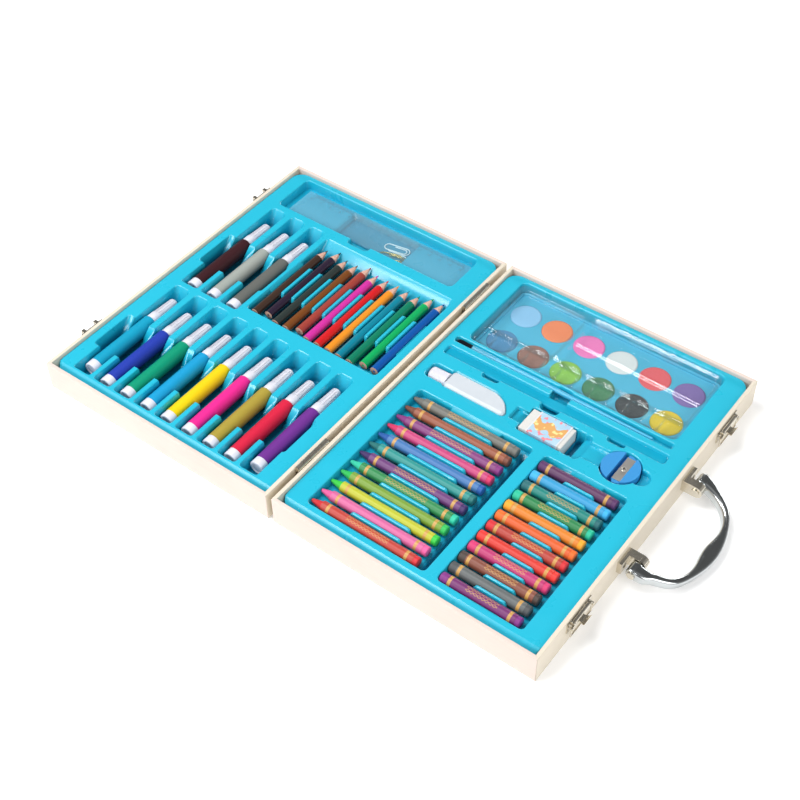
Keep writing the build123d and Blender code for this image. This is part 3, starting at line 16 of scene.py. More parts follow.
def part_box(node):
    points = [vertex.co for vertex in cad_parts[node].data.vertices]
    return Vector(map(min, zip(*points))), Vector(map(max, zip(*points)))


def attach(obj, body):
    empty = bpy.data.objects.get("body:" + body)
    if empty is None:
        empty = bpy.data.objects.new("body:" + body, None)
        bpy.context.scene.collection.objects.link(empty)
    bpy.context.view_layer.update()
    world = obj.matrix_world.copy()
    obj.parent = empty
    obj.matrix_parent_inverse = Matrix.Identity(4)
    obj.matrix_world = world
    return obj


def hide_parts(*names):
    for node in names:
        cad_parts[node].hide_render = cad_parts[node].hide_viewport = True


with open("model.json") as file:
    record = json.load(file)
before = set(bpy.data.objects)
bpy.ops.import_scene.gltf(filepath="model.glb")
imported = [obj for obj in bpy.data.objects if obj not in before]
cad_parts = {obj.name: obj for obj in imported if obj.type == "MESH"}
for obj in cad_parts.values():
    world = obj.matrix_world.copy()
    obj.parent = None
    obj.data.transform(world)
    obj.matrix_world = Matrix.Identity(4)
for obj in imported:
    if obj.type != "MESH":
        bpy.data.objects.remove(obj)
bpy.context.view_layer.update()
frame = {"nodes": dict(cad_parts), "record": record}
nodes = frame["nodes"]
mm = 0.001
print("loaded", len(nodes), "nodes")

# %% [markdown]
# The photograph looks down on the case from the handle's side, a little over forty-five
# degrees. The camera stands on a line from a target on the case, given by its azimuth and
# elevation, because these are easier to fit to a picture than a bare position. A small roll
# follows the photograph, where the real camera wasn't quite level.

# %% Camera
target = Vector((-103.29, -3.63, 0.0)) * mm
azimuth, elevation, roll = math.radians(37.536), math.radians(46.987), math.radians(-1.027)
distance = 1016.4 * mm
back = Vector((math.sin(azimuth) * math.cos(elevation),
               -math.cos(azimuth) * math.cos(elevation), math.sin(elevation)))
level = Vector((math.cos(azimuth), math.sin(azimuth), 0.0))
upright = back.cross(level)
right = math.cos(roll) * level + math.sin(roll) * upright
up = back.cross(right)
camera = bpy.data.objects.new("camera", bpy.data.cameras.new("camera"))
camera.data.lens = 62.73
camera.data.sensor_width = 36.0
camera.matrix_world = Matrix.Translation(target + back * distance) @ Matrix(
    (right, up, back)).transposed().to_4x4()
bpy.context.collection.objects.link(camera)
bpy.context.scene.camera = camera
print("camera", [round(value, 3) for value in camera.location])

# %% [markdown]
# Product photographs are lit by large soft boxes, and an area light is the same thing. A
# point lamp would leave a hard dot in every gloss instead. The front light stands where the
# sloping lips of the inserts mirror it, and the others lift the sides, tops and far edges.

# %% Soft boxes
def soft_box(name, place, aim, width, length, power):
    """Rectangular light at a place, turned towards a point, in metres and watts."""
    light = bpy.data.lights.new(name, "AREA")
    light.shape = "RECTANGLE"
    light.size = width
    light.size_y = length
    light.energy = power
    lamp = bpy.data.objects.new(name, light)
    lamp.location = place
    lamp.rotation_mode = "QUATERNION"
    lamp.rotation_quaternion = (Vector(aim) - Vector(place)).to_track_quat("-Z", "Y")
    bpy.context.collection.objects.link(lamp)
    return lamp


case_middle = (-0.1, 0.0, 0.0)
soft_box("key_light", (-0.9, -1.3, 1.0), case_middle, 1.0, 0.5, 16.0)
soft_box("side_light", (1.4, -0.6, 1.0), case_middle, 1.0, 1.0, 14.0)
soft_box("top_light", (-0.75, -0.3, 1.75), case_middle, 0.9, 0.9, 24.0)
soft_box("back_light", (0.0, 1.6, 0.5), case_middle, 2.0, 0.25, 12.0)
print("four soft boxes")

# %% [markdown]
# The clear cover over the paints shows thin white lines, the mirror images of tube lamps.
# Lines drawn into the finish would stay put when the view moves, and real ones don't. A line
# is known by its two ends on the cover, so each lamp is placed by mirroring the line of sight
# at both of them. Two long lines run over the back row of paints and two along the far rim,
# and pairs of short ones lie in a row over the front paints.

# %% Tube lamps
panel_top, rim_top = 13.9, 20.2
cover_lines = [((-24.0, 109.3, panel_top), (78.7, 107.9, panel_top)),
               ((-24.0, 107.5, panel_top), (78.7, 105.4, panel_top)),
               ((-22.0, 134.6, rim_top), (80.0, 134.6, rim_top)),
               ((-22.0, 132.9, rim_top), (80.0, 132.9, rim_top))]
first_pair, pair_step, pairs, line_reach = -37.7, 14.2, 8, 3.7
for index in range(pairs):
    centre = first_pair + pair_step * index
    for away in (83.4, 81.6):
        cover_lines.append(((centre - line_reach, away, panel_top),
                            (centre + line_reach, away, panel_top)))
tube_distance, tube_width, watts_per_mm = 1.2, 0.8, 0.00013


def tube_lamp(name, start, end):
    """Thin lamp whose mirror image on a flat top runs between two points in mm."""
    ends = []
    for point in (start, end):
        spot = Vector(point) * mm
        sight = (spot - camera.location).normalized()
        ends.append(spot + Vector((sight.x, sight.y, -sight.z)) * tube_distance)
    span = ends[1] - ends[0]
    aim = (Vector(start) + Vector(end)) * mm / 2
    lamp = soft_box(name, (ends[0] + ends[1]) / 2, aim, span.length, tube_width * mm,
                    watts_per_mm * (Vector(end) - Vector(start)).length)
    out = (lamp.location - aim).normalized()
    side = out.cross(span).normalized()
    turn = Matrix((side.cross(out), side, out)).transposed()
    lamp.rotation_quaternion = turn.to_quaternion()


for index, (start, end) in enumerate(cover_lines):
    tube_lamp(f"tube_{index}", start, end)
print(len(cover_lines), "tube lamps")

# %% [markdown]
# Chrome shows what is round it, so the world isn't one grey: it is bright near the horizon
# and overhead and dark in between, where flat tops mirror it. A picture of a studio could
# do this too, but a ramp on the height of the direction gives the bands without a file. The
# photograph's whites are pure, which the Standard view keeps.

# %% World
def fill_ramp(ramp, stops):
    """Give a colour ramp exactly these (position, colour) stops."""
    while len(ramp.elements) < len(stops):
        ramp.elements.new(1.0)
    for element, (position, colour) in zip(ramp.elements, stops):
        element.position = position
        element.color = colour


brightness = [(0.0, 0.28), (0.4, 0.36), (0.6, 0.14), (0.82, 0.11), (0.95, 0.35)]
world = bpy.data.worlds.new("studio")
world.use_nodes = True
studio = world.node_tree
direction = studio.nodes.new("ShaderNodeTexCoord")
height = studio.nodes.new("ShaderNodeSeparateXYZ")
bands = studio.nodes.new("ShaderNodeValToRGB")
fill_ramp(bands.color_ramp, [(stop, (grey, grey, grey, 1.0)) for stop, grey in brightness])
studio.links.new(direction.outputs["Generated"], height.inputs[0])
studio.links.new(height.outputs["Z"], bands.inputs[0])
studio.links.new(bands.outputs[0], studio.nodes["Background"].inputs["Color"])
bpy.context.scene.world = world
bpy.context.scene.view_settings.view_transform = "Standard"
print("world with", len(brightness), "bands")

# %% [markdown]
# A procedural finish is a formula: where on the piece, how rough, which colour. Wrapping a
# node's socket in a small class lets that formula be written with Python's own operators,
# and each operator adds its Math node.

# %% Values in a formula
class Flow:
    """A value or colour that flows through a finish; sums on it add Math nodes."""

    def __init__(self, finish, socket):
        self.finish = finish
        self.socket = socket

    def __add__(self, other):
        return self.finish.maths("ADD", self, other)

    __radd__ = __add__

    def __sub__(self, other):
        return self.finish.maths("SUBTRACT", self, other)

    def __rsub__(self, other):
        return self.finish.maths("SUBTRACT", other, self)

    def __mul__(self, other):
        return self.finish.maths("MULTIPLY", self, other)

    __rmul__ = __mul__

    def __truediv__(self, other):
        return self.finish.maths("DIVIDE", self, other)

    def __rtruediv__(self, other):
        return self.finish.maths("DIVIDE", other, self)

    def __lt__(self, other):
        return self.finish.maths("LESS_THAN", self, other)

    def __gt__(self, other):
        return self.finish.maths("GREATER_THAN", self, other)


print("values can be added, multiplied and compared")

# %% [markdown]
# One method adds every other kind of node: its settings go in first, then the values or
# links of its sockets. A finish also keeps the place on the piece in millimetres, read from
# Object coordinates, so a pattern has its real size and moves with the piece. Colours are
# given as a screen shows them, and turned into the linear values that shaders work with.

# %% Finishes
def shade(red, green, blue):
    """Colour as a shader wants it, from the 0 to 255 values that a screen shows."""
    def linear(value):
        share = value / 255
        return share / 12.92 if share <= 0.04045 else ((share + 0.055) / 1.055) ** 2.4
    return (linear(red), linear(green), linear(blue), 1.0)


class Finish:
    """A material being put together from formulas, with the place on the piece in mm."""

    def __init__(self, name, **shader):
        self.material = bpy.data.materials.new(name)
        self.material.use_nodes = True
        self.tree = self.material.node_tree
        self.shader = self.tree.nodes["Principled BSDF"]
        for socket, value in shader.items():
            self.shader.inputs[socket.replace("_", " ")].default_value = value
        metres = self.add("ShaderNodeTexCoord", output="Object")
        self.place = self.add("ShaderNodeVectorMath", {"operation": "SCALE"},
                              {0: metres, "Scale": 1 / mm})
        split = self.add("ShaderNodeSeparateXYZ", {}, {0: self.place})
        outputs = split.socket.node.outputs
        self.x, self.y, self.z = (Flow(self, outputs[axis]) for axis in "XYZ")

    def add(self, kind, settings=None, inputs=None, output=0):
        """Add a node, set it up, feed its sockets with values or flows, and return an output."""
        node = self.tree.nodes.new(kind)
        for setting, value in (settings or {}).items():
            if setting == "stops":
                fill_ramp(node.color_ramp, value)
            elif setting == "interpolation":
                node.color_ramp.interpolation = value
            else:
                setattr(node, setting, value)
        for socket, value in (inputs or {}).items():
            if isinstance(value, Flow):
                self.tree.links.new(value.socket, node.inputs[socket])
            else:
                node.inputs[socket].default_value = value
        return Flow(self, node.outputs[output])

    def maths(self, operation, *values):
        """One Math node on one, two or three values."""
        return self.add("ShaderNodeMath", {"operation": operation}, dict(enumerate(values)))

    def within(self, value, lowest, highest):
        """A value held between two limits."""
        return self.maths("MINIMUM", self.maths("MAXIMUM", value, lowest), highest)

    def near(self, value, centre, half_width):
        """1 where a value is within half_width of a centre, else 0."""
        return self.maths("COMPARE", value, centre, half_width)

    def noise(self, size, detail=3.0, stretch=(1.0, 1.0, 1.0)):
        """Soft random cloud from 0 to 1, with features of about this many millimetres."""
        scale = tuple(1.0 / (size * way) for way in stretch)
        spread = self.add("ShaderNodeVectorMath", {"operation": "MULTIPLY"},
                          {0: self.place, 1: scale})
        return self.add("ShaderNodeTexNoise", {}, {"Vector": spread, "Scale": 1.0,
                                                   "Detail": detail})

    def ramp(self, value, stops, interpolation="LINEAR"):
        """Colour looked up along a ramp of (position, colour) stops."""
        return self.add("ShaderNodeValToRGB", {"stops": stops, "interpolation": interpolation},
                        {0: value})

    def rows(self, along, first, pitch, colours):
        """A screen colour for each piece of a row, the first centred at a place on an axis."""
        count = len(colours)
        share = (along - (first - pitch / 2)) / (pitch * count)
        stops = [(index / count, shade(*colour)) for index, colour in enumerate(colours)]
        return self.ramp(share, stops, "CONSTANT")

    def mix(self, share, first, second):
        """Blend two colours by a share from 0 to 1."""
        return self.add("ShaderNodeMix", {"data_type": "RGBA"},
                        {0: share, 6: first, 7: second}, 2)

    def feed(self, socket, flow):
        """Feed one of the shader's sockets."""
        self.tree.links.new(flow.socket, self.shader.inputs[socket])
        return self

    def bump(self, height, depth, strength=1.0):
        """Raise the surface by a height from 0 to 1, times a depth in millimetres."""
        normal = self.add("ShaderNodeBump", {}, {"Height": height, "Strength": strength,
                                                 "Distance": depth * mm})
        return self.feed("Normal", normal)

    def on(self, *pieces):
        """Lay the finish on pieces or on CAD nodes given by name."""
        for piece in pieces:
            mesh = (nodes[piece] if isinstance(piece, str) else piece).data
            mesh.materials.clear()
            mesh.materials.append(self.material)


print("finishes can be made")

# %% [markdown]
# Pictures for a catalogue are taken on a white table that is lit from below too, so that all
# but the closest shadows fade out. A little emission does the same for the floor here.

# %% Floor
floor_shape = bmesh.new()
bmesh.ops.create_grid(floor_shape, x_segments=1, y_segments=1, size=4.0)
floor_mesh = bpy.data.meshes.new("floor")
floor_shape.to_mesh(floor_mesh)
floor_shape.free()
floor = bpy.data.objects.new("floor", floor_mesh)
bpy.context.collection.objects.link(floor)
floor_finish = Finish("floor_paper", Roughness=0.9, Specular_IOR_Level=0.1,
                      Emission_Strength=0.22)
white = floor_finish.ramp(floor_finish.noise(300.0), [
    (0.0, shade(246, 246, 246)), (1.0, shade(252, 252, 252))])
floor_finish.feed("Base Color", white).feed("Emission Color", white).on(floor)
print("floor of", [round(side, 1) for side in floor.dimensions], "m")

# %% [markdown]
# Many nodes hold a row of like solids, such as the twelve crayons. Their finish has to know
# where each one lies. A CAD mesh is loose triangles, so a copy is merged first, and then
# each island of joined points is one solid. Measuring them keeps scene and CAD together, and
# sorting them gives the same order in every run, which a set of points doesn't.

# %% Measure CAD nodes
same_point = 1e-6


def box_mm(node):
    """Lowest and highest corner of a CAD node, in mm."""
    return [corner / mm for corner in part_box(node)]


def solids_of(node):
    """(lowest, highest) corner in mm of every separate solid of a CAD node."""
    shape = bmesh.new()
    shape.from_mesh(nodes[node].data)
    bmesh.ops.remove_doubles(shape, verts=shape.verts, dist=same_point)
    waiting = set(shape.verts)
    boxes = []
    while waiting:
        reached = [waiting.pop()]
        island = []
        while reached:
            vert = reached.pop()
            island.append(vert.co / mm)
            for link in vert.link_edges:
                other = link.other_vert(vert)
                if other in waiting:
                    waiting.remove(other)
                    reached.append(other)
        boxes.append((Vector(map(min, *island)), Vector(map(max, *island))))
    shape.free()
    return sorted(boxes, key=lambda box: tuple(box[0]))


def centres(node, axis):
    """Sorted middles of a node's solids along an axis, in mm."""
    return sorted((low[axis] + high[axis]) / 2 for low, high in solids_of(node))


def pitch_of(places):
    """Even step between sorted places."""
    return (places[-1] - places[0]) / (len(places) - 1)


crayon_rows = centres("crayon_sticks", 1)
pastel_rows = centres("oil_pastel_sticks", 1)
pencil_columns = centres("pencil_leads", 0)
stick_pitch = pitch_of(crayon_rows)
pencil_pitch = pitch_of(pencil_columns)
print("stick pitch", round(stick_pitch, 2), "pencil pitch", round(pencil_pitch, 2))

# %% [markdown]
# A finished bmesh becomes an object that rides on a body and may stand for a CAD node.
# Weighted normals keep its flat faces flat beside small rounds, which a plain smooth shading
# would bend. One helper does this for every piece, and another lays its finish on it.

# %% Keep and dress a piece
smooth_turn = math.radians(50)
home = {node: body for body, held in frame["record"]["behaviour"]["bodies"].items()
        for node in held}


def keep(shape, name, body, *replaced):
    """Turn a bmesh into a piece that rides on a body and stands for the named nodes."""
    for face in shape.faces:
        face.smooth = True
    mesh = bpy.data.meshes.new(name)
    shape.to_mesh(mesh)
    shape.free()
    mesh.set_sharp_from_angle(angle=smooth_turn)
    piece = bpy.data.objects.new(name, mesh)
    bpy.context.collection.objects.link(piece)
    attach(piece, body)
    if replaced:
        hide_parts(*replaced)
    return piece


def even_out(piece):
    """Weight a piece's normals by the size of its faces."""
    even = piece.modifiers.new("even_faces", "WEIGHTED_NORMAL")
    even.keep_sharp = True
    return piece


def dress(piece, finish):
    """Lay a finish on a piece and return it."""
    finish.on(piece)
    return piece


# %% [markdown]
# A CAD solid has knife-sharp edges, while formed plastic, sanded boards and pressed metal
# have small rounds that catch the light. A node's own mesh is never changed, so a copy is
# merged, its flat triangles are joined, and its long sharp edges are bevelled. A Bevel
# modifier would round the rims of screw holes too, and the operator takes chosen edges only.

# %% Rounded copies of CAD nodes
flat_turn, sharp_turn = math.radians(0.5), math.radians(40)


def merged(node, join=True):
    """A node's mesh with its doubles merged and, unless it is all curved, flats joined."""
    shape = bmesh.new()
    shape.from_mesh(nodes[node].data)
    bmesh.ops.remove_doubles(shape, verts=shape.verts, dist=same_point)
    if join:
        bmesh.ops.dissolve_limit(shape, angle_limit=flat_turn, verts=shape.verts,
                                 edges=shape.edges, use_dissolve_boundaries=False)
    return shape


def smooth_copy(node):
    """Copy of a node with merged doubles and smooth shading over its small turns."""
    return even_out(keep(merged(node), node + "_smooth", home[node], node))


def rounded(node, width, shortest, segments=2):
    """Copy of a node whose sharp edges longer than the shortest are bevelled, sizes in mm."""
    shape = merged(node)
    sharp = [edge for edge in shape.edges if edge.is_manifold
             and edge.calc_face_angle() > sharp_turn
             and edge.calc_length() > shortest * mm]
    bmesh.ops.bevel(shape, geom=sharp, offset=width * mm, offset_type="OFFSET",
                    segments=segments, profile=0.5, affect="EDGES", clamp_overlap=True,
                    material=-1)
    return even_out(keep(shape, node + "_rounded", home[node], node))


boards = {f"{half}_{side}": rounded(f"{half}_{side}_board", 0.5, 20.0, 3)
          for half in ("base", "lid") for side in ("front", "back", "near", "far")}
print("boards", {name: len(piece.data.polygons) for name, piece in boards.items()})

# %% [markdown]
# The boards are light wood under a thin cream paint, so the grain is just seen and felt. The
# noise is stretched fourteen times along each board, and soft clouds vary its tone. Boards along
# X and along Y need the stretch on different axes, which makes two finishes. Their creams also
# differ a little, as painted light: each is tinted for how the light falls on the near and far
# sides or on the front and back.

# %% Painted boards and panels
along_grain = 14.0


def painted_board(name, along_x, colour):
    """Satin cream paint over fine wood grain that runs along one axis."""
    stretch = (along_grain, 1.0, 1.0) if along_x else (1.0, along_grain, 1.0)
    finish = Finish(name, Specular_IOR_Level=0.4)
    grain = finish.noise(1.6, 4.0, stretch)
    cloud = finish.noise(45.0, 2.0)
    tone = finish.ramp(grain * 0.45 + cloud * 0.55, [
        (0.25, shade(*(value - 7 for value in colour))), (0.5, shade(*colour)),
        (0.75, shade(*(value + 3 for value in colour)))])
    finish.feed("Base Color", tone)
    finish.feed("Roughness", 0.42 + grain * 0.2)
    return finish.bump(grain, 0.02, 0.5)


# Painted light: the near and far boards and the front and back boards get slightly different
# creams, for the different light on their sides.
cream_x_painted_light = painted_board("cream_paint_along_x", True, (224, 208, 198))
cream_y_painted_light = painted_board("cream_paint_along_y", False, (222, 212, 194))
for name, piece in boards.items():
    dress(piece, cream_x_painted_light if name.endswith(("near", "far")) else cream_y_painted_light)
cream_y_painted_light.on("base_bottom_panel", "lid_top_panel")
print("boards painted")

# %% [markdown]
# The inserts are one sheet of glossy blue plastic each, drawn down into pockets. The merged
# copy keeps the rolled lips from the CAD, and smooth normals make their two steps one curve.
# Shade is painted into its colour, darker the deeper the sheet lies below the deck.
# The sheet has a very fine orange peel, slight tone changes and a few pale specks of dust.

# %% Formed inserts
deck = box_mm("base_tray")[1].z
lip_depth, well_depth, bay_depth = 2.5, 11.0, 5.0


def blue_sheet():
    """Glossy sky blue sheet, with shade painted in that darkens it with its depth below the
    deck.
    """
    finish = Finish("blue_sheet", Coat_Weight=0.3, Coat_Roughness=0.12)
    cloud = finish.noise(55.0, 2.0)
    peel = finish.noise(2.2, 2.0)
    colour = finish.mix(cloud, shade(26, 178, 206), shade(38, 186, 214))
    # Painted shade: the colour darkens from below the lip into the wells, and most in the
    # deepest bays.
    depth_for_shade_and_dust = finish.within((deck - finish.z - lip_depth) / well_depth, 0.0, 1.0)
    colour = finish.mix(depth_for_shade_and_dust * 0.8, colour, shade(0, 144, 184))
    painted_deep_shade = finish.within((deck - finish.z - well_depth) / bay_depth, 0.0, 0.3)
    colour = finish.mix(painted_deep_shade, colour, shade(0, 62, 92))
    dust = (finish.noise(0.9, 0.0) > 0.86) * (depth_for_shade_and_dust > 0.02)
    finish.feed("Base Color", finish.mix(dust * 0.6, colour, shade(210, 240, 248)))
    finish.feed("Roughness", 0.22 + finish.noise(18.0) * 0.14)
    return finish.bump(peel, 0.018, 0.5)


sheet = blue_sheet()
for node in ("base_tray", "lid_tray"):
    insert = dress(smooth_copy(node), sheet)
    print(insert.name, len(insert.data.polygons), "faces")

# %% [markdown]
# Hinges, brackets and latches are pressed steel with a warm nickel plate, a little cloudy
# from handling. Metal takes its look from its roughness, so clouds and fine scratches feed
# roughness and bump, and the colour hardly changes.

# %% Nickel fittings
def metal(name, colour, lowest, highest, scratch):
    """Bare or plated metal with clouded roughness and fine scratches."""
    finish = Finish(name, Metallic=1.0)
    smudge = finish.noise(9.0, 4.0)
    fine = finish.noise(1.2, 2.0, (1.0, 6.0, 1.0))
    dark = shade(*(value - 8 for value in colour))
    finish.feed("Base Color", finish.mix(smudge, dark, shade(*colour)))
    finish.feed("Roughness", lowest + smudge * (highest - lowest))
    return finish.bump(fine, scratch, 0.5)


nickel = metal("nickel_plate", (224, 217, 202), 0.2, 0.3, 0.002)
for name in ("near", "far"):
    for node, width in ((f"hinge_{name}_base_leaf", 0.15), (f"hinge_{name}_lid_leaf", 0.15),
                        (f"handle_bracket_{name}", 0.35), (f"latch_{name}_plate", 0.18),
                        (f"latch_{name}_lever", 0.15), (f"lid_catch_{name}", 0.15)):
        dress(rounded(node, width, 0.9), nickel)
nickel.on("hinge_pins", "base_wood_screws", "lid_wood_screws", "handle_pins", "latch_pins",
          "latch_near_bail", "latch_far_bail")
print("nickel fittings")

# %% [markdown]
# The handle is a cast bow, polished before it was chromed, so its reflections run on without
# a break. The long thin triangles of a CAD mesh would bend them. A voxel remesh gives even
# faces instead, and a smoothing pass polishes these.

# %% Handle
voxel, polishing = 0.5 * mm, 30
chrome = metal("polished_chrome", (197, 201, 202), 0.12, 0.18, 0.0002)
grip = keep(merged("handle", join=False), "handle_smooth", home["handle"], "handle")
even = grip.modifiers.new("even_mesh", "REMESH")
even.mode = "VOXEL"
even.voxel_size = voxel
even.use_smooth_shade = True
grip.modifiers.new("polished", "SMOOTH").iterations = polishing
dress(grip, chrome)
print("handle", len(grip.data.polygons), "faces before its modifiers")

# %% [markdown]
# The sharpener's blade is ground steel, held by a small screw. The cross in its head is a few
# tenths of a millimetre wide, so it is drawn in the colour: a formula on the distance from the
# screw's middle darkens the head, and the cross most of all, as painted shade in its recess.

# %% Blade and screw of the sharpener
steel = metal("ground_steel", (206, 203, 198), 0.36, 0.5, 0.01)
steel.on(rounded("sharpener_blade", 0.1, 0.9))
screw = Finish("screw_head", Metallic=1.0)
screw_low, screw_high = box_mm("sharpener_screw")
screw_x = screw.x - (screw_low.x + screw_high.x) / 2
screw_y = screw.y - (screw_low.y + screw_high.y) / 2
head_radius = (screw_high.x - screw_low.x) / 2 - 0.5
cross_reach = 0.25
head = screw.near(screw.maths("SQRT", screw_x * screw_x + screw_y * screw_y), 0.0,
                  head_radius)
cross = screw.maths("MAXIMUM", screw.near(screw_x, 0.0, cross_reach),
                    screw.near(screw_y, 0.0, cross_reach))
# Painted shade: the cross recess is drawn dark in the colour, and the head a little darker than
# its rim.
screw.feed("Base Color", screw.mix(head * (0.3 + cross * 0.6), shade(236, 232, 224),
                                   shade(52, 48, 44)))
screw.feed("Roughness", 0.3 + screw.noise(1.0) * 0.2)
screw.on("sharpener_screw")
print("screw head of", round(head_radius, 2), "mm radius")

# %% [markdown]
# Twelve crayons share one node, so they share one finish too. The colour comes from a ramp
# with a hard stop for each crayon, looked up by where the point lies across the row. Little
# light comes between sticks side by side, so the colour darkens towards their undersides.

# %% Crayon wax
def in_the_gap(finish, colour, low, high):
    """Painted shade: darken a colour towards the bottom of a row of sticks, where little light
    comes.
    """
    share = finish.maths("MAXIMUM", (high.z - finish.z) / (high.z - low.z), 0.0)
    return finish.mix(share * (0.35 + share * 0.6), colour, shade(12, 14, 22))


def wax(name, waxes, first, row_box):
    """Slightly cloudy wax, one colour for each stick of a row along Y."""
    finish = Finish(name, Specular_IOR_Level=0.3)
    bloom = finish.noise(5.0, 4.0)
    colour = finish.rows(finish.y, first, stick_pitch, waxes)
    # Painted shade: the wax darkens towards the sticks' undersides.
    colour = in_the_gap(finish, colour, *row_box)
    finish.feed("Base Color", finish.mix(bloom * 0.05, colour, shade(225, 225, 225)))
    finish.feed("Roughness", 0.35 + bloom * 0.25)
    return finish.bump(finish.noise(1.0, 4.0), 0.06, 0.6)


crayon_waxes = [(214, 30, 40), (238, 92, 158), (44, 204, 62), (28, 190, 84),
                (28, 202, 164), (58, 24, 98), (0, 112, 112), (10, 88, 168),
                (214, 36, 96), (132, 36, 124), (122, 66, 46), (112, 112, 106)]
crayon_box = box_mm("crayon_wrappers")
wax("crayon_wax", crayon_waxes, crayon_rows[0], crayon_box).on("crayon_sticks")
print("wax of", len(crayon_waxes), "crayons")

# %% [markdown]
# Each crayon wears a coloured paper with a gold band near each end. A plain chain of two
# crossing waves decorates the papers that lie with their front up. Bands and chain are lines
# where a distance is near a value, so they stay crisp however close the camera comes.

# %% Crayon papers
band_reach = 1.15
chain_pace, chain_swing, chain_drop, chain_reach = 1.1, 0.75, 1.2, 0.24


def printed_paper(name, papers, first, row_box, bands, chain_place, fronts_up):
    """Smooth printed paper with gold bands, and a gold chain on those marked 1 in a row."""
    finish = Finish(name, Specular_IOR_Level=0.4, Coat_Weight=0.1, Coat_Roughness=0.3)
    colour = finish.rows(finish.y, first, stick_pitch, papers)
    fibre = finish.noise(0.9, 4.0)
    colour = finish.mix(fibre * 0.05 + 0.17, colour, shade(50, 44, 48))
    gold = (finish.near(finish.x, bands[0], band_reach)
            + finish.near(finish.x, bands[1], band_reach))
    across = finish.maths("PINGPONG", finish.y - first + stick_pitch / 2, stick_pitch / 2)
    waves = [finish.maths("SINE", finish.x * pace) * chain_swing + stick_pitch / 2 - chain_drop
             for pace in (chain_pace, -chain_pace)]
    chain = finish.maths("MAXIMUM", *(finish.near(across, wave, chain_reach)
                                      for wave in waves))
    chain = chain * finish.rows(finish.y, first, stick_pitch,
                                [(255 * int(mark),) * 3 for mark in fronts_up])
    gold = gold + chain * finish.near(finish.x, *chain_place) * 0.7
    gold = finish.maths("MINIMUM", gold * (0.75 + fibre * 0.35), 1.0)
    colour = finish.mix(gold, colour, shade(204, 156, 78))
    # Painted shade: the papers darken towards the sticks' undersides.
    finish.feed("Base Color", in_the_gap(finish, colour, *row_box))
    finish.feed("Roughness", 0.42 - gold * 0.1 + fibre * 0.1)
    return finish.bump(fibre, 0.02, 0.5)


crayon_papers = [(206, 66, 50), (232, 110, 168), (206, 210, 44), (132, 172, 52),
                 (44, 150, 84), (116, 60, 128), (34, 158, 152), (66, 128, 194),
                 (216, 70, 132), (142, 62, 132), (166, 92, 62), (122, 122, 114)]
low, high = crayon_box
band_inset, chain_half = 5.4, 17.0
printed_paper("crayon_paper", crayon_papers, crayon_rows[0], crayon_box,
              (low.x + band_inset, high.x - band_inset), ((low.x + high.x) / 2, chain_half),
              "100011000101").on("crayon_wrappers")
print("crayons from", round(low.x, 1), "to", round(high.x, 1))

# %% [markdown]
# Oil pastels are thicker and softer than crayons, but they are wrapped in the same way. The
# two helpers are used again with their own colours. Their papers reach almost to one end,
# so the gold bands stand at different distances from the two ends.

# %% Oil pastels
pastel_waxes = [(130, 36, 130), (72, 76, 78), (68, 52, 46), (214, 46, 112),
                (240, 48, 40), (214, 30, 40), (244, 108, 20), (250, 166, 22),
                (0, 190, 150), (0, 100, 106), (50, 178, 236), (82, 32, 92)]
pastel_papers = [(126, 42, 116), (106, 112, 112), (146, 82, 62), (206, 56, 122),
                 (234, 58, 42), (196, 68, 52), (240, 102, 32), (242, 142, 32),
                 (32, 142, 78), (0, 142, 132), (46, 170, 226), (98, 52, 98)]
pastel_box = box_mm("oil_pastel_wrappers")
low, high = pastel_box
left_inset, right_inset, chain_half = 2.0, 4.2, 12.0
wax("pastel_wax", pastel_waxes, pastel_rows[0], pastel_box).on("oil_pastel_sticks")
printed_paper("pastel_paper", pastel_papers, pastel_rows[0], pastel_box,
              (low.x + left_inset, high.x - right_inset), ((low.x + high.x) / 2, chain_half),
              "101101001100").on("oil_pastel_wrappers")
print("pastels from", round(low.x, 1), "to", round(high.x, 1))

# %% [markdown]
# The twelve markers lie in two rows, so their colour depends on the row as well as on the
# place along it: one ramp for each row, and a mix that picks between them. The barrels are
# plain moulded plastic, with a little cloud in tone and gloss and a fine peel. The nibs and
# the ink cores behind them are felt, so their roughness is high and fine fibres run along.

# %% Barrels and ink of the markers
lower_barrels = [(10, 156, 192), (36, 60, 170), (0, 150, 114), (20, 156, 208), (240, 208, 14),
                 (232, 40, 144), (172, 152, 60), (214, 32, 66), (112, 48, 144)]
upper_barrels = [(58, 22, 28), (160, 166, 160), (102, 104, 100)]


def columns_of(boxes):
    """Sorted places along X where solids lie, in mm."""
    return sorted({round((low.x + high.x) / 2, 1) for low, high in boxes})


barrel_boxes = solids_of("marker_barrels")
barrel_columns = columns_of(barrel_boxes)
marker_pitch = pitch_of(barrel_columns)
between_rows = (min(low.y for low, high in barrel_boxes)
                + max(high.y for low, high in barrel_boxes)) / 2


def marker_colour(finish):
    """One colour for each marker, by its column and by its row."""
    lower, upper = (finish.rows(finish.x, barrel_columns[0], marker_pitch, colours)
                    for colours in (lower_barrels, upper_barrels))
    return finish.mix(finish.y > between_rows, lower, upper)


def barrel_colour(finish):
    """The same, with painted shade towards the bottom of the wells."""
    return in_the_gap(finish, marker_colour(finish), *box_mm("marker_barrels"))


def moulded(name, colour, roughness, **shader):
    """Moulded plastic in one colour, or in one that a function of the finish gives."""
    finish = Finish(name, **shader)
    cloud = finish.noise(14.0, 3.0)
    base = colour(finish) if callable(colour) else shade(*colour)
    finish.feed("Base Color", finish.mix(cloud * 0.12, base, shade(20, 22, 26)))
    finish.feed("Roughness", roughness + cloud * 0.1)
    return finish.bump(finish.noise(1.5, 2.0), 0.03, 0.5)


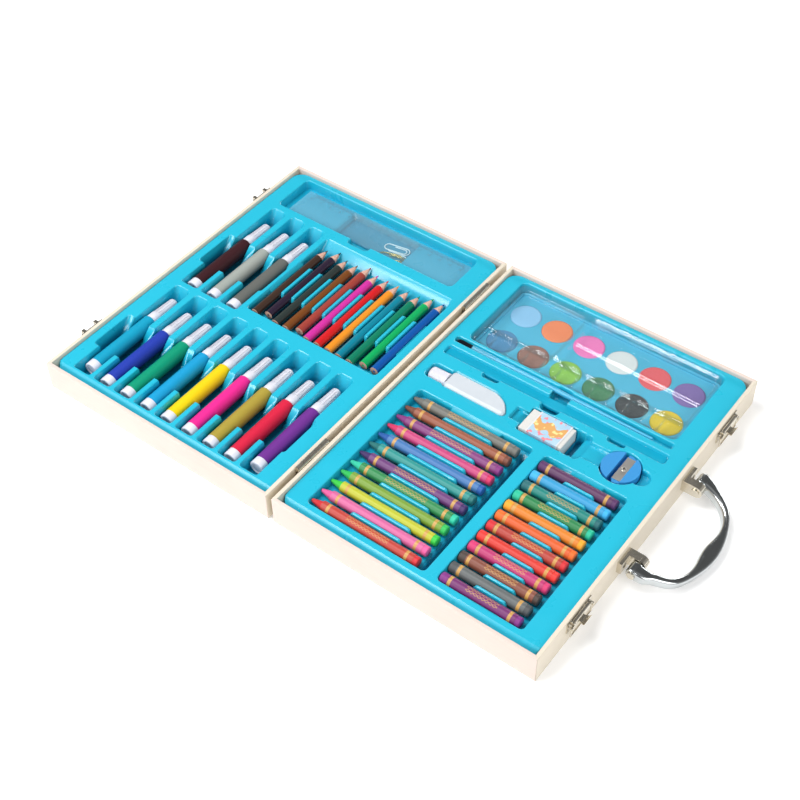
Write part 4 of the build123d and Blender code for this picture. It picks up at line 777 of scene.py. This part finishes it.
moulded("marker_barrel", barrel_colour, 0.36, Specular_IOR_Level=0.25).on("marker_barrels")
white_plastic = moulded("white_plastic", (222, 221, 231), 0.32)
felt = Finish("ink_felt", Roughness=0.95)
fibres = felt.noise(0.35, 4.0, (1.0, 8.0, 1.0))
felt.feed("Base Color", felt.mix(fibres * 0.3, marker_colour(felt), shade(20, 20, 24)))
felt.bump(fibres, 0.1).on("marker_nibs", "marker_ink_cores")
print("markers", len(barrel_boxes), "pitch", round(marker_pitch, 2))

# %% [markdown]
# The white caps are turned shapes with flutes round them for grip. A profile is spun once,
# and every third strip of its faces is inset and pushed in, which is how a real mould cuts
# the flutes. The one cap is then copied to where each cap of the CAD lies.

# %% Caps of the markers
def spun(profile, steps):
    """Closed solid of revolution about Y from (distance along Y, radius) points in mm."""
    shape = bmesh.new()
    line = [shape.verts.new((radius * mm, along * mm, 0.0)) for along, radius in profile]
    edges = [shape.edges.new(pair) for pair in zip(line, line[1:])]
    bmesh.ops.spin(shape, geom=line + edges, cent=(0, 0, 0), axis=(0, 1, 0),
                   angle=math.tau, steps=steps, use_merge=True)
    bmesh.ops.remove_doubles(shape, verts=shape.verts, dist=1e-7)
    bmesh.ops.recalc_face_normals(shape, faces=shape.faces)
    return shape


def flute(shape, start, end, steps, every, depth):
    """Press every few strips of faces in between two distances along Y."""
    strips = []
    for face in shape.faces:
        middle = face.calc_center_median() / mm
        turn = math.atan2(middle.z, middle.x) % math.tau
        if start < middle.y < end and int(turn / math.tau * steps) % every == 0:
            strips.append(face)
    bmesh.ops.inset_region(shape, faces=strips, thickness=0.12 * mm, depth=-depth * mm,
                           use_even_offset=True)


def repeated(shape, boxes):
    """The same bmesh at the near end of every box, joined into one."""
    row = bmesh.new()
    for low, high in boxes:
        place = Vector(((low.x + high.x) / 2, low.y, (low.z + high.z) / 2))
        mesh = bpy.data.meshes.new("one")
        shape.to_mesh(mesh)
        mesh.transform(Matrix.Translation(place * mm))
        row.from_mesh(mesh)
        bpy.data.meshes.remove(mesh)
    shape.free()
    return row


cap_boxes = solids_of("marker_caps")
cap_length = cap_boxes[0][1].y - cap_boxes[0][0].y
cap_steps = 36
cap = spun([(0.0, 0.0), (0.0, 4.9), (0.3, 5.2), (6.8, 5.2), (7.2, 4.85),
            (cap_length - 2.4, 4.05), (cap_length - 1.2, 3.6), (cap_length - 0.4, 2.6),
            (cap_length, 0.0)], cap_steps)
flute(cap, 8.5, cap_length - 3.0, cap_steps, 3, 0.4)
caps = keep(repeated(cap, cap_boxes), "marker_caps_fluted", "markers", "marker_caps")
dress(caps, white_plastic)
print("caps", len(cap_boxes), "faces", len(caps.data.polygons))

# %% [markdown]
# The markers' other ends are closed by plugs with a shallow round hollow, which shows as a
# ring. The same two steps make them: spin one profile, then copy it to every plug's place.

# %% Ends of the markers
plug_boxes = solids_of("marker_plugs")
plug_low, plug_high = plug_boxes[0]
plug_radius = (plug_high.x - plug_low.x) / 2
plug_length = (min(low.y for low, high in barrel_boxes)
               - min(low.y for low, high in plug_boxes))
plug = spun([(1.0, 0.0), (1.0, plug_radius - 1.7), (0.0, plug_radius - 1.4),
             (0.0, plug_radius - 0.3), (0.3, plug_radius), (plug_length, plug_radius),
             (plug_length, 0.0)], 32)
plugs = keep(repeated(plug, plug_boxes), "marker_ends", "markers", "marker_plugs")
dress(plugs, white_plastic)
print("plugs", round(plug_radius, 2), "mm in radius and", round(plug_length, 2), "long")

# %% [markdown]
# The pencils are round, lacquered and sharpened. Paint covers a casing only out to its full
# radius, so the distance from the pencil's own axis says where the bare pink wood of the cone
# and of the flat end shows. The leads run right through and take the paint's colour.

# %% Pencils
pencil_paints = [(62, 42, 32), (40, 26, 48), (42, 52, 50), (118, 66, 22), (158, 62, 52),
                 (204, 46, 156), (206, 24, 30), (236, 144, 34), (0, 128, 152), (0, 122, 92),
                 (0, 166, 90), (0, 82, 162)]
pencil_box = box_mm("pencil_casings")
pencil_axis = (pencil_box[0].z + pencil_box[1].z) / 2
pencil_radius = (pencil_box[1].z - pencil_box[0].z) / 2


def pencil_colour(finish):
    """One colour for each pencil along X."""
    return finish.rows(finish.x, pencil_columns[0], pencil_pitch, pencil_paints)


casing = Finish("pencil_lacquer", Coat_Weight=0.2, Coat_Roughness=0.15)
beside_axis = casing.maths("PINGPONG", casing.x - pencil_columns[0] + pencil_pitch / 2,
                           pencil_pitch / 2) - pencil_pitch / 2
above_axis = casing.z - pencil_axis
from_axis = casing.maths("SQRT", beside_axis * beside_axis + above_axis * above_axis)
fibre = casing.noise(0.6, 4.0, (1.0, 8.0, 1.0))
bare = from_axis + casing.noise(1.4, 1.0) * 0.25 < pencil_radius - 0.02
wood = casing.mix(fibre, shade(206, 146, 122), shade(238, 190, 166))
# Painted shade: the casings darken towards the pencils' undersides.
casing.feed("Base Color", in_the_gap(casing, casing.mix(bare, pencil_colour(casing), wood),
                                     *pencil_box))
casing.feed("Roughness", 0.26 + bare * 0.45)
casing.bump(fibre * bare, 0.08, 0.6).on("pencil_casings")
moulded("pencil_core", pencil_colour, 0.45).on("pencil_leads")
print("pencils", len(pencil_columns), "radius", round(pencil_radius, 2))

# %% [markdown]
# The ruler, the palette's cover and the brush's ferrule are clear plastic. A share of the
# light passes straight through and the rest is reflected, more at a glancing view, which a
# Fresnel factor between a transparent and a glossy shader gives. A glass shader would bend
# the view and darken the shadows, which such thin pieces hardly do. Only outer faces reflect,
# because a sheet's two faces would else draw every line twice.

# %% Clear plastic
def clear(name, tint, **shader):
    """A clear plastic before its two shaders are mixed: see-through, and what reflects."""
    finish = Finish(name, **shader)
    finish.see_through = finish.add("ShaderNodeBsdfTransparent", {}, {"Color": shade(*tint)})
    return finish


def outer_share(finish, haze, gain):
    """Share of the light that an outer face sends back: haze, and more at a glancing view."""
    edge = finish.add("ShaderNodeFresnel", {}, {"IOR": 1.5})
    inner = finish.add("ShaderNodeNewGeometry", output="Backfacing")
    return finish.maths("MINIMUM", (edge * gain + haze) * (1.0 - inner), 1.0)


def close_clear(finish, share):
    """Put the mix of see-through and gloss on the material's output."""
    blend = finish.add("ShaderNodeMixShader", {}, {
        0: share, 1: finish.see_through, 2: Flow(finish, finish.shader.outputs["BSDF"])})
    finish.tree.links.new(blend.socket, finish.tree.nodes["Material Output"].inputs["Surface"])
    return finish


ferrule_plastic = clear("ferrule_plastic", (222, 240, 246), Base_Color=shade(96, 196, 228))
ferrule_plastic.feed("Roughness", 0.15 + ferrule_plastic.noise(2.0) * 0.1)
close_clear(ferrule_plastic, outer_share(ferrule_plastic, 0.6, 1.0)).on("brush_ferrule")
print("ferrule")

# %% [markdown]
# The cover is formed from a thin clear sheet. Its large faces are flat and mirror the tube
# lamps as straight lines, so they are shaded flat, and only the small faces of its bevelled
# ribs are smooth.

# %% Palette cover
cover_plastic = clear("cover_plastic", (252, 255, 255), Metallic=0.75)
smear = cover_plastic.noise(30.0, 3.0)
cover_plastic.feed("Base Color", cover_plastic.mix(smear, shade(246, 250, 252),
                                                   shade(255, 255, 255)))
cover_plastic.feed("Roughness", 0.01 + smear * 0.01)
close_clear(cover_plastic, outer_share(cover_plastic, 0.05 + smear * 0.02, 0.6))
cover = dress(rounded("palette_cover", 0.15, 1.5), cover_plastic)
large_face = 15.0 * mm * mm
for face in cover.data.polygons:
    face.use_smooth = face.area < large_face
print("cover", sum(not face.use_smooth for face in cover.data.polygons), "flat faces")

# %% [markdown]
# The ruler has a printed scale in millimetres with longer lines at five and ten. A picture
# of it would blur up close, so the lines are worked out from the distance along the edge: its
# fraction, half a step on, is near a half wherever a line stands. Lines at five and at ten
# millimetres add some length to the short one.

# %% Ruler
ruler_low, ruler_high = box_mm("ruler")
scale_start, scale_length = ruler_low.x + 6.5, 150.0
ruler_plastic = clear("ruler_plastic", (246, 252, 253))
along = ruler_plastic.x - scale_start
inward = ruler_high.y - ruler_plastic.y


def every(step, reach):
    """1 on a line at each whole number of steps along the ruler, else 0."""
    turn = ruler_plastic.maths("FRACT", along / step + 0.5)
    return ruler_plastic.near(turn, 0.5, reach)


printed = every(1, 0.1) * (inward < 3.0 + every(5, 0.05) * 1.2 + every(10, 0.03) * 1.3)
on_scale = ruler_plastic.near(along, scale_length / 2, scale_length / 2 + 0.3)
printed = printed * on_scale * (inward > 0.9)
ruler_plastic.feed("Base Color", ruler_plastic.mix(printed, shade(205, 240, 248),
                                                   shade(60, 80, 95)))
ruler_plastic.feed("Roughness", 0.14 + ruler_plastic.noise(20.0) * 0.1)
haze = outer_share(ruler_plastic, 0.11, 1.0)
close_clear(ruler_plastic, ruler_plastic.maths("MAXIMUM", haze, printed * 0.75))
dress(rounded("ruler", 0.15, 2.0), ruler_plastic)
print("ruler", round(ruler_high.x - ruler_low.x, 1), "mm long")

# %% [markdown]
# The scale's numbers stand at every centimetre. Blender's text is the simplest way to get
# clean digits. Each text is turned into a flat mesh first and moved to its place after that,
# and they all join into one thin print just above the plastic.

# %% Numbers on the ruler
digit_height, digit_inset, print_lift = 3.0, 9.2, 0.03
digits = bmesh.new()
for number in range(16):
    letters = bpy.data.curves.new("digits", "FONT")
    letters.body = str(number)
    letters.size = digit_height * mm
    letters.align_x = "CENTER"
    carrier = bpy.data.objects.new("digits", letters)
    bpy.context.collection.objects.link(carrier)
    bpy.context.view_layer.update()
    flat = bpy.data.meshes.new_from_object(carrier)
    flat.transform(Matrix.Translation(Vector((scale_start + 10 * number,
                                              ruler_high.y - digit_inset,
                                              ruler_high.z + print_lift)) * mm))
    digits.from_mesh(flat)
    bpy.data.objects.remove(carrier)
    bpy.data.meshes.remove(flat)
ink = Finish("ruler_ink", Roughness=0.6)
ink.feed("Base Color", ink.mix(ink.noise(2.0), shade(58, 78, 92), shade(84, 104, 118)))
dress(keep(digits, "ruler_numbers", "ruler"), ink)
print("numbers 0 to 15")

# %% [markdown]
# One paper clip is bare brass wire and the other is coated white. They share a node, and the
# place across it tells them apart. The coating isn't metal, so it switches Metallic as well.

# %% Paper clips
clip = Finish("clip_wire", Metallic=0.85)
clip_low, clip_high = box_mm("paper_clips")
coated = clip.y > (clip_low.y + clip_high.y) / 2
clip.feed("Base Color", clip.mix(coated, shade(206, 172, 96), shade(240, 242, 245)))
clip.feed("Metallic", 1.0 - coated)
clip.feed("Roughness", 0.22 + clip.noise(2.0) * 0.12)
clip.on("paper_clips")
print("paper clips over", round(clip_high.y - clip_low.y, 1), "mm")

# %% [markdown]
# The paints are pressed cakes of watercolour: matt, faintly gritty and paler where the
# press lifted. One ramp colours the back row and another the front row. The palette and the
# mixing stick are moulded plastic in two blues.

# %% Palette and paints
front_paints = [(56, 130, 176), (148, 98, 84), (136, 190, 66), (52, 124, 78), (42, 44, 48),
                (228, 192, 12)]
back_paints = [(140, 194, 232), (246, 132, 78), (244, 118, 186), (222, 222, 222),
               (232, 84, 92), (128, 98, 166)]
pan_boxes = solids_of("paint_pans")
pan_columns = columns_of(pan_boxes)
pan_pitch = pitch_of(pan_columns)
pan_middle = sum((low.y + high.y) / 2 for low, high in pan_boxes) / len(pan_boxes)
cake = Finish("paint_cake", Roughness=0.85, Specular_IOR_Level=0.25)
front, rear = (cake.rows(cake.x, pan_columns[0], pan_pitch, paints)
               for paints in (front_paints, back_paints))
grit = cake.noise(0.7, 4.0)
cake.feed("Base Color", cake.mix(grit * 0.12, cake.mix(cake.y > pan_middle, front, rear),
                                 shade(240, 240, 240)))
cake.bump(grit, 0.15, 0.7).on("paint_pans")
palette_plastic = moulded("palette_plastic", (86, 186, 218), 0.34)
dress(rounded("paint_palette", 0.3, 3.0), palette_plastic)
stick_plastic = moulded("stick_plastic", (0, 166, 200), 0.4, Specular_IOR_Level=0.3)
dress(rounded("mixing_stick", 0.15, 2.0), stick_plastic)
print("paints", len(pan_boxes), "pitch", round(pan_pitch, 2))

# %% [markdown]
# The brush's hair is the one soft thing in the case. A single tapered plug would look like
# rubber, so every hair is a shape of its own: a thin tapered prism, extruded in short steps
# from a small square, that leans a little outwards and to one side, as packed hair does.
# Turning each hair by the golden angle from the last fills the round root evenly, and the
# random numbers are seeded, so each run gives the same brush.

# %% Brush
def hair(length, width, lean_y, lean_z, steps):
    """One hair along -X from the origin, narrowing and bending away, in mm."""
    shape = bmesh.new()
    ring = bmesh.ops.create_circle(shape, segments=4, radius=width / 2 * mm, cap_ends=True)
    turn = Matrix.Rotation(math.radians(-90), 4, "Y")
    bmesh.ops.transform(shape, matrix=turn, verts=ring["verts"])
    end = shape.faces[:]
    for step in range(1, steps + 1):
        grown = bmesh.ops.extrude_face_region(shape, geom=end)["geom"]
        verts = [item for item in grown if isinstance(item, bmesh.types.BMVert)]
        bmesh.ops.delete(shape, geom=end, context="FACES_ONLY")
        end = [item for item in grown if isinstance(item, bmesh.types.BMFace)]
        share = step / steps
        move = Vector((-length / steps, lean_y * share / steps, lean_z * share / steps)) * mm
        bmesh.ops.translate(shape, vec=move, verts=verts)
        middle = sum((vert.co for vert in verts), Vector()) / len(verts)
        bmesh.ops.scale(shape, vec=(0.9,) * 3, verts=verts,
                        space=Matrix.Translation(-middle))
    return shape


hair_count, hair_width, sag, golden_angle = 340, 0.34, 0.9, 2.39996


def tuft(place, radius, length):
    """A round bunch of hairs that spreads a little and sags to one side."""
    chance = random.Random(5)
    bunch = bmesh.new()
    for index in range(hair_count):
        out = radius * math.sqrt((index + 0.5) / hair_count)
        turn = index * golden_angle
        y, z = out * math.cos(turn), out * math.sin(turn)
        reach = length * (1.0 - 0.12 * (out / radius) ** 2) * chance.uniform(0.93, 1.0)
        single = hair(reach, hair_width, y * 0.5 - sag + chance.uniform(-0.4, 0.4),
                      z * 0.25 + chance.uniform(-0.2, 0.2), 4)
        mesh = bpy.data.meshes.new("one")
        single.to_mesh(mesh)
        single.free()
        mesh.transform(Matrix.Translation(place * mm + Vector((0.0, y, z)) * mm))
        bunch.from_mesh(mesh)
        bpy.data.meshes.remove(mesh)
    return bunch


hair_low, hair_high = box_mm("brush_bristles")
hair_axis = (hair_low + hair_high) / 2
hair_root = Vector((hair_high.x, hair_axis.y, hair_axis.z))
bunch = tuft(hair_root, (hair_high.z - hair_low.z) / 2 - 0.15, hair_high.x - hair_low.x - 0.2)
bmesh.ops.recalc_face_normals(bunch, faces=bunch.faces)
strand = Finish("brush_hair", Specular_IOR_Level=0.1)
streak = strand.noise(0.3, 2.0, (12.0, 1.0, 1.0))
strand.feed("Base Color", strand.mix(streak, shade(6, 8, 16), shade(22, 26, 38)))
strand.feed("Roughness", 0.5 + streak * 0.25)
hairs = dress(keep(bunch, "brush_hairs", "brush", "brush_bristles"), strand)
moulded("brush_plastic", (60, 178, 218), 0.25, Coat_Weight=0.2).on("brush_handle")
print("hairs", hair_count, "faces", len(hairs.data.polygons))

# %% [markdown]
# The glue bottle is milky plastic and smooth all over, as blown plastic is. Bevels would add
# edges that blowing can't make, so its copy gets smooth normals only, as the inserts do.

# %% Glue bottle
bottle = Finish("glue_bottle_plastic", Coat_Weight=0.1)
milky = bottle.noise(10.0, 2.0)
bottle.feed("Base Color", bottle.mix(milky, shade(196, 204, 211), shade(208, 214, 220)))
bottle.feed("Roughness", 0.3 + milky * 0.1)
bottle.bump(bottle.noise(3.0), 0.04, 0.4)
bottle_piece = dress(smooth_copy("glue_bottle"), bottle)
print("glue bottle", len(bottle_piece.data.polygons), "faces")

# %% [markdown]
# The eraser is matt rubber in a printed card sleeve. The sleeve has a plain abstract print in
# a few bright colours, with white margins: a wavy band and dots, which are where one noise
# rises above a limit or falls below another. Formulas keep it sharp without a picture.

# %% Eraser
rubber = Finish("eraser_rubber", Roughness=0.8, Specular_IOR_Level=0.3)
crumb = rubber.noise(1.1, 4.0)
rubber.feed("Base Color", rubber.mix(crumb, shade(208, 207, 202), shade(222, 221, 217)))
rubber.bump(crumb, 0.08, 0.5).on("eraser")

sleeve_low, sleeve_high = box_mm("eraser_sleeve")
card = Finish("sleeve_card", Coat_Weight=0.2, Coat_Roughness=0.2, Roughness=0.4)
sway = card.maths("SINE", card.x * 0.55) * 2.0
band = card.near(card.y + sway, (sleeve_low.y + sleeve_high.y) / 2, 4.2)
dots = card.noise(2.6, 0.0)
ground = card.mix(card.noise(9.0, 1.0), shade(150, 196, 222), shade(196, 220, 234))
art = card.mix(band * 0.9, ground, shade(226, 160, 62))
art = card.mix((dots > 0.66) * (1.0 - band), art, shade(236, 140, 150))
art = card.mix((dots < 0.33) * band, art, shade(250, 222, 150))
margin = 1.0 - card.near(card.x, (sleeve_low.x + sleeve_high.x) / 2,
                         (sleeve_high.x - sleeve_low.x) / 2 - 1.2)
card.feed("Base Color", card.mix(margin, art, shade(220, 222, 225)))
card.feed("Roughness", 0.35 + card.noise(1.0, 4.0) * 0.15)
dress(rounded("eraser_sleeve", 0.15, 3.0), card)
print("sleeve", round(sleeve_high.x - sleeve_low.x, 1), "mm long")

# %% [markdown]
# The glue's cap is turned and fluted like the markers' caps, with finer flutes, so the same
# two helpers make it. They work along Y, and the cap points along X, so it is given a quarter
# turn on its way to where the CAD's cap lies.

# %% Cap of the glue
cap_low, cap_high = box_mm("glue_cap")
cap_radius = (cap_high.y - cap_low.y) / 2
cap_long = cap_high.x - cap_low.x
glue_steps = 72
glue_cap = spun([(0.0, 0.0), (0.0, cap_radius - 1.4), (0.4, cap_radius - 0.6),
                 (1.2, cap_radius - 0.3), (cap_long, cap_radius), (cap_long, 0.0)], glue_steps)
flute(glue_cap, 1.5, cap_long - 1.0, glue_steps, 2, 0.25)
cap_place = Vector((cap_low.x, (cap_low.y + cap_high.y) / 2, (cap_low.z + cap_high.z) / 2))
bmesh.ops.transform(glue_cap, verts=glue_cap.verts, matrix=Matrix.Translation(cap_place * mm)
                    @ Matrix.Rotation(math.radians(-90), 4, "Z"))
dress(keep(glue_cap, "glue_cap_fluted", home["glue_cap"], "glue_cap"), white_plastic)
print("glue cap", round(cap_radius, 2), "mm in radius")

# %% [markdown]
# The sharpener's body is moulded plastic with slightly rounded edges. Its grips and its hole
# are in the CAD already, so the bevel and the plastic that other pieces have are enough.

# %% Sharpener
sharpener_plastic = moulded("sharpener_plastic", (58, 150, 216), 0.3, Coat_Weight=0.15)
sharpener = dress(rounded("sharpener_body", 0.3, 0.4), sharpener_plastic)
print("sharpener", len(sharpener.data.polygons), "faces")
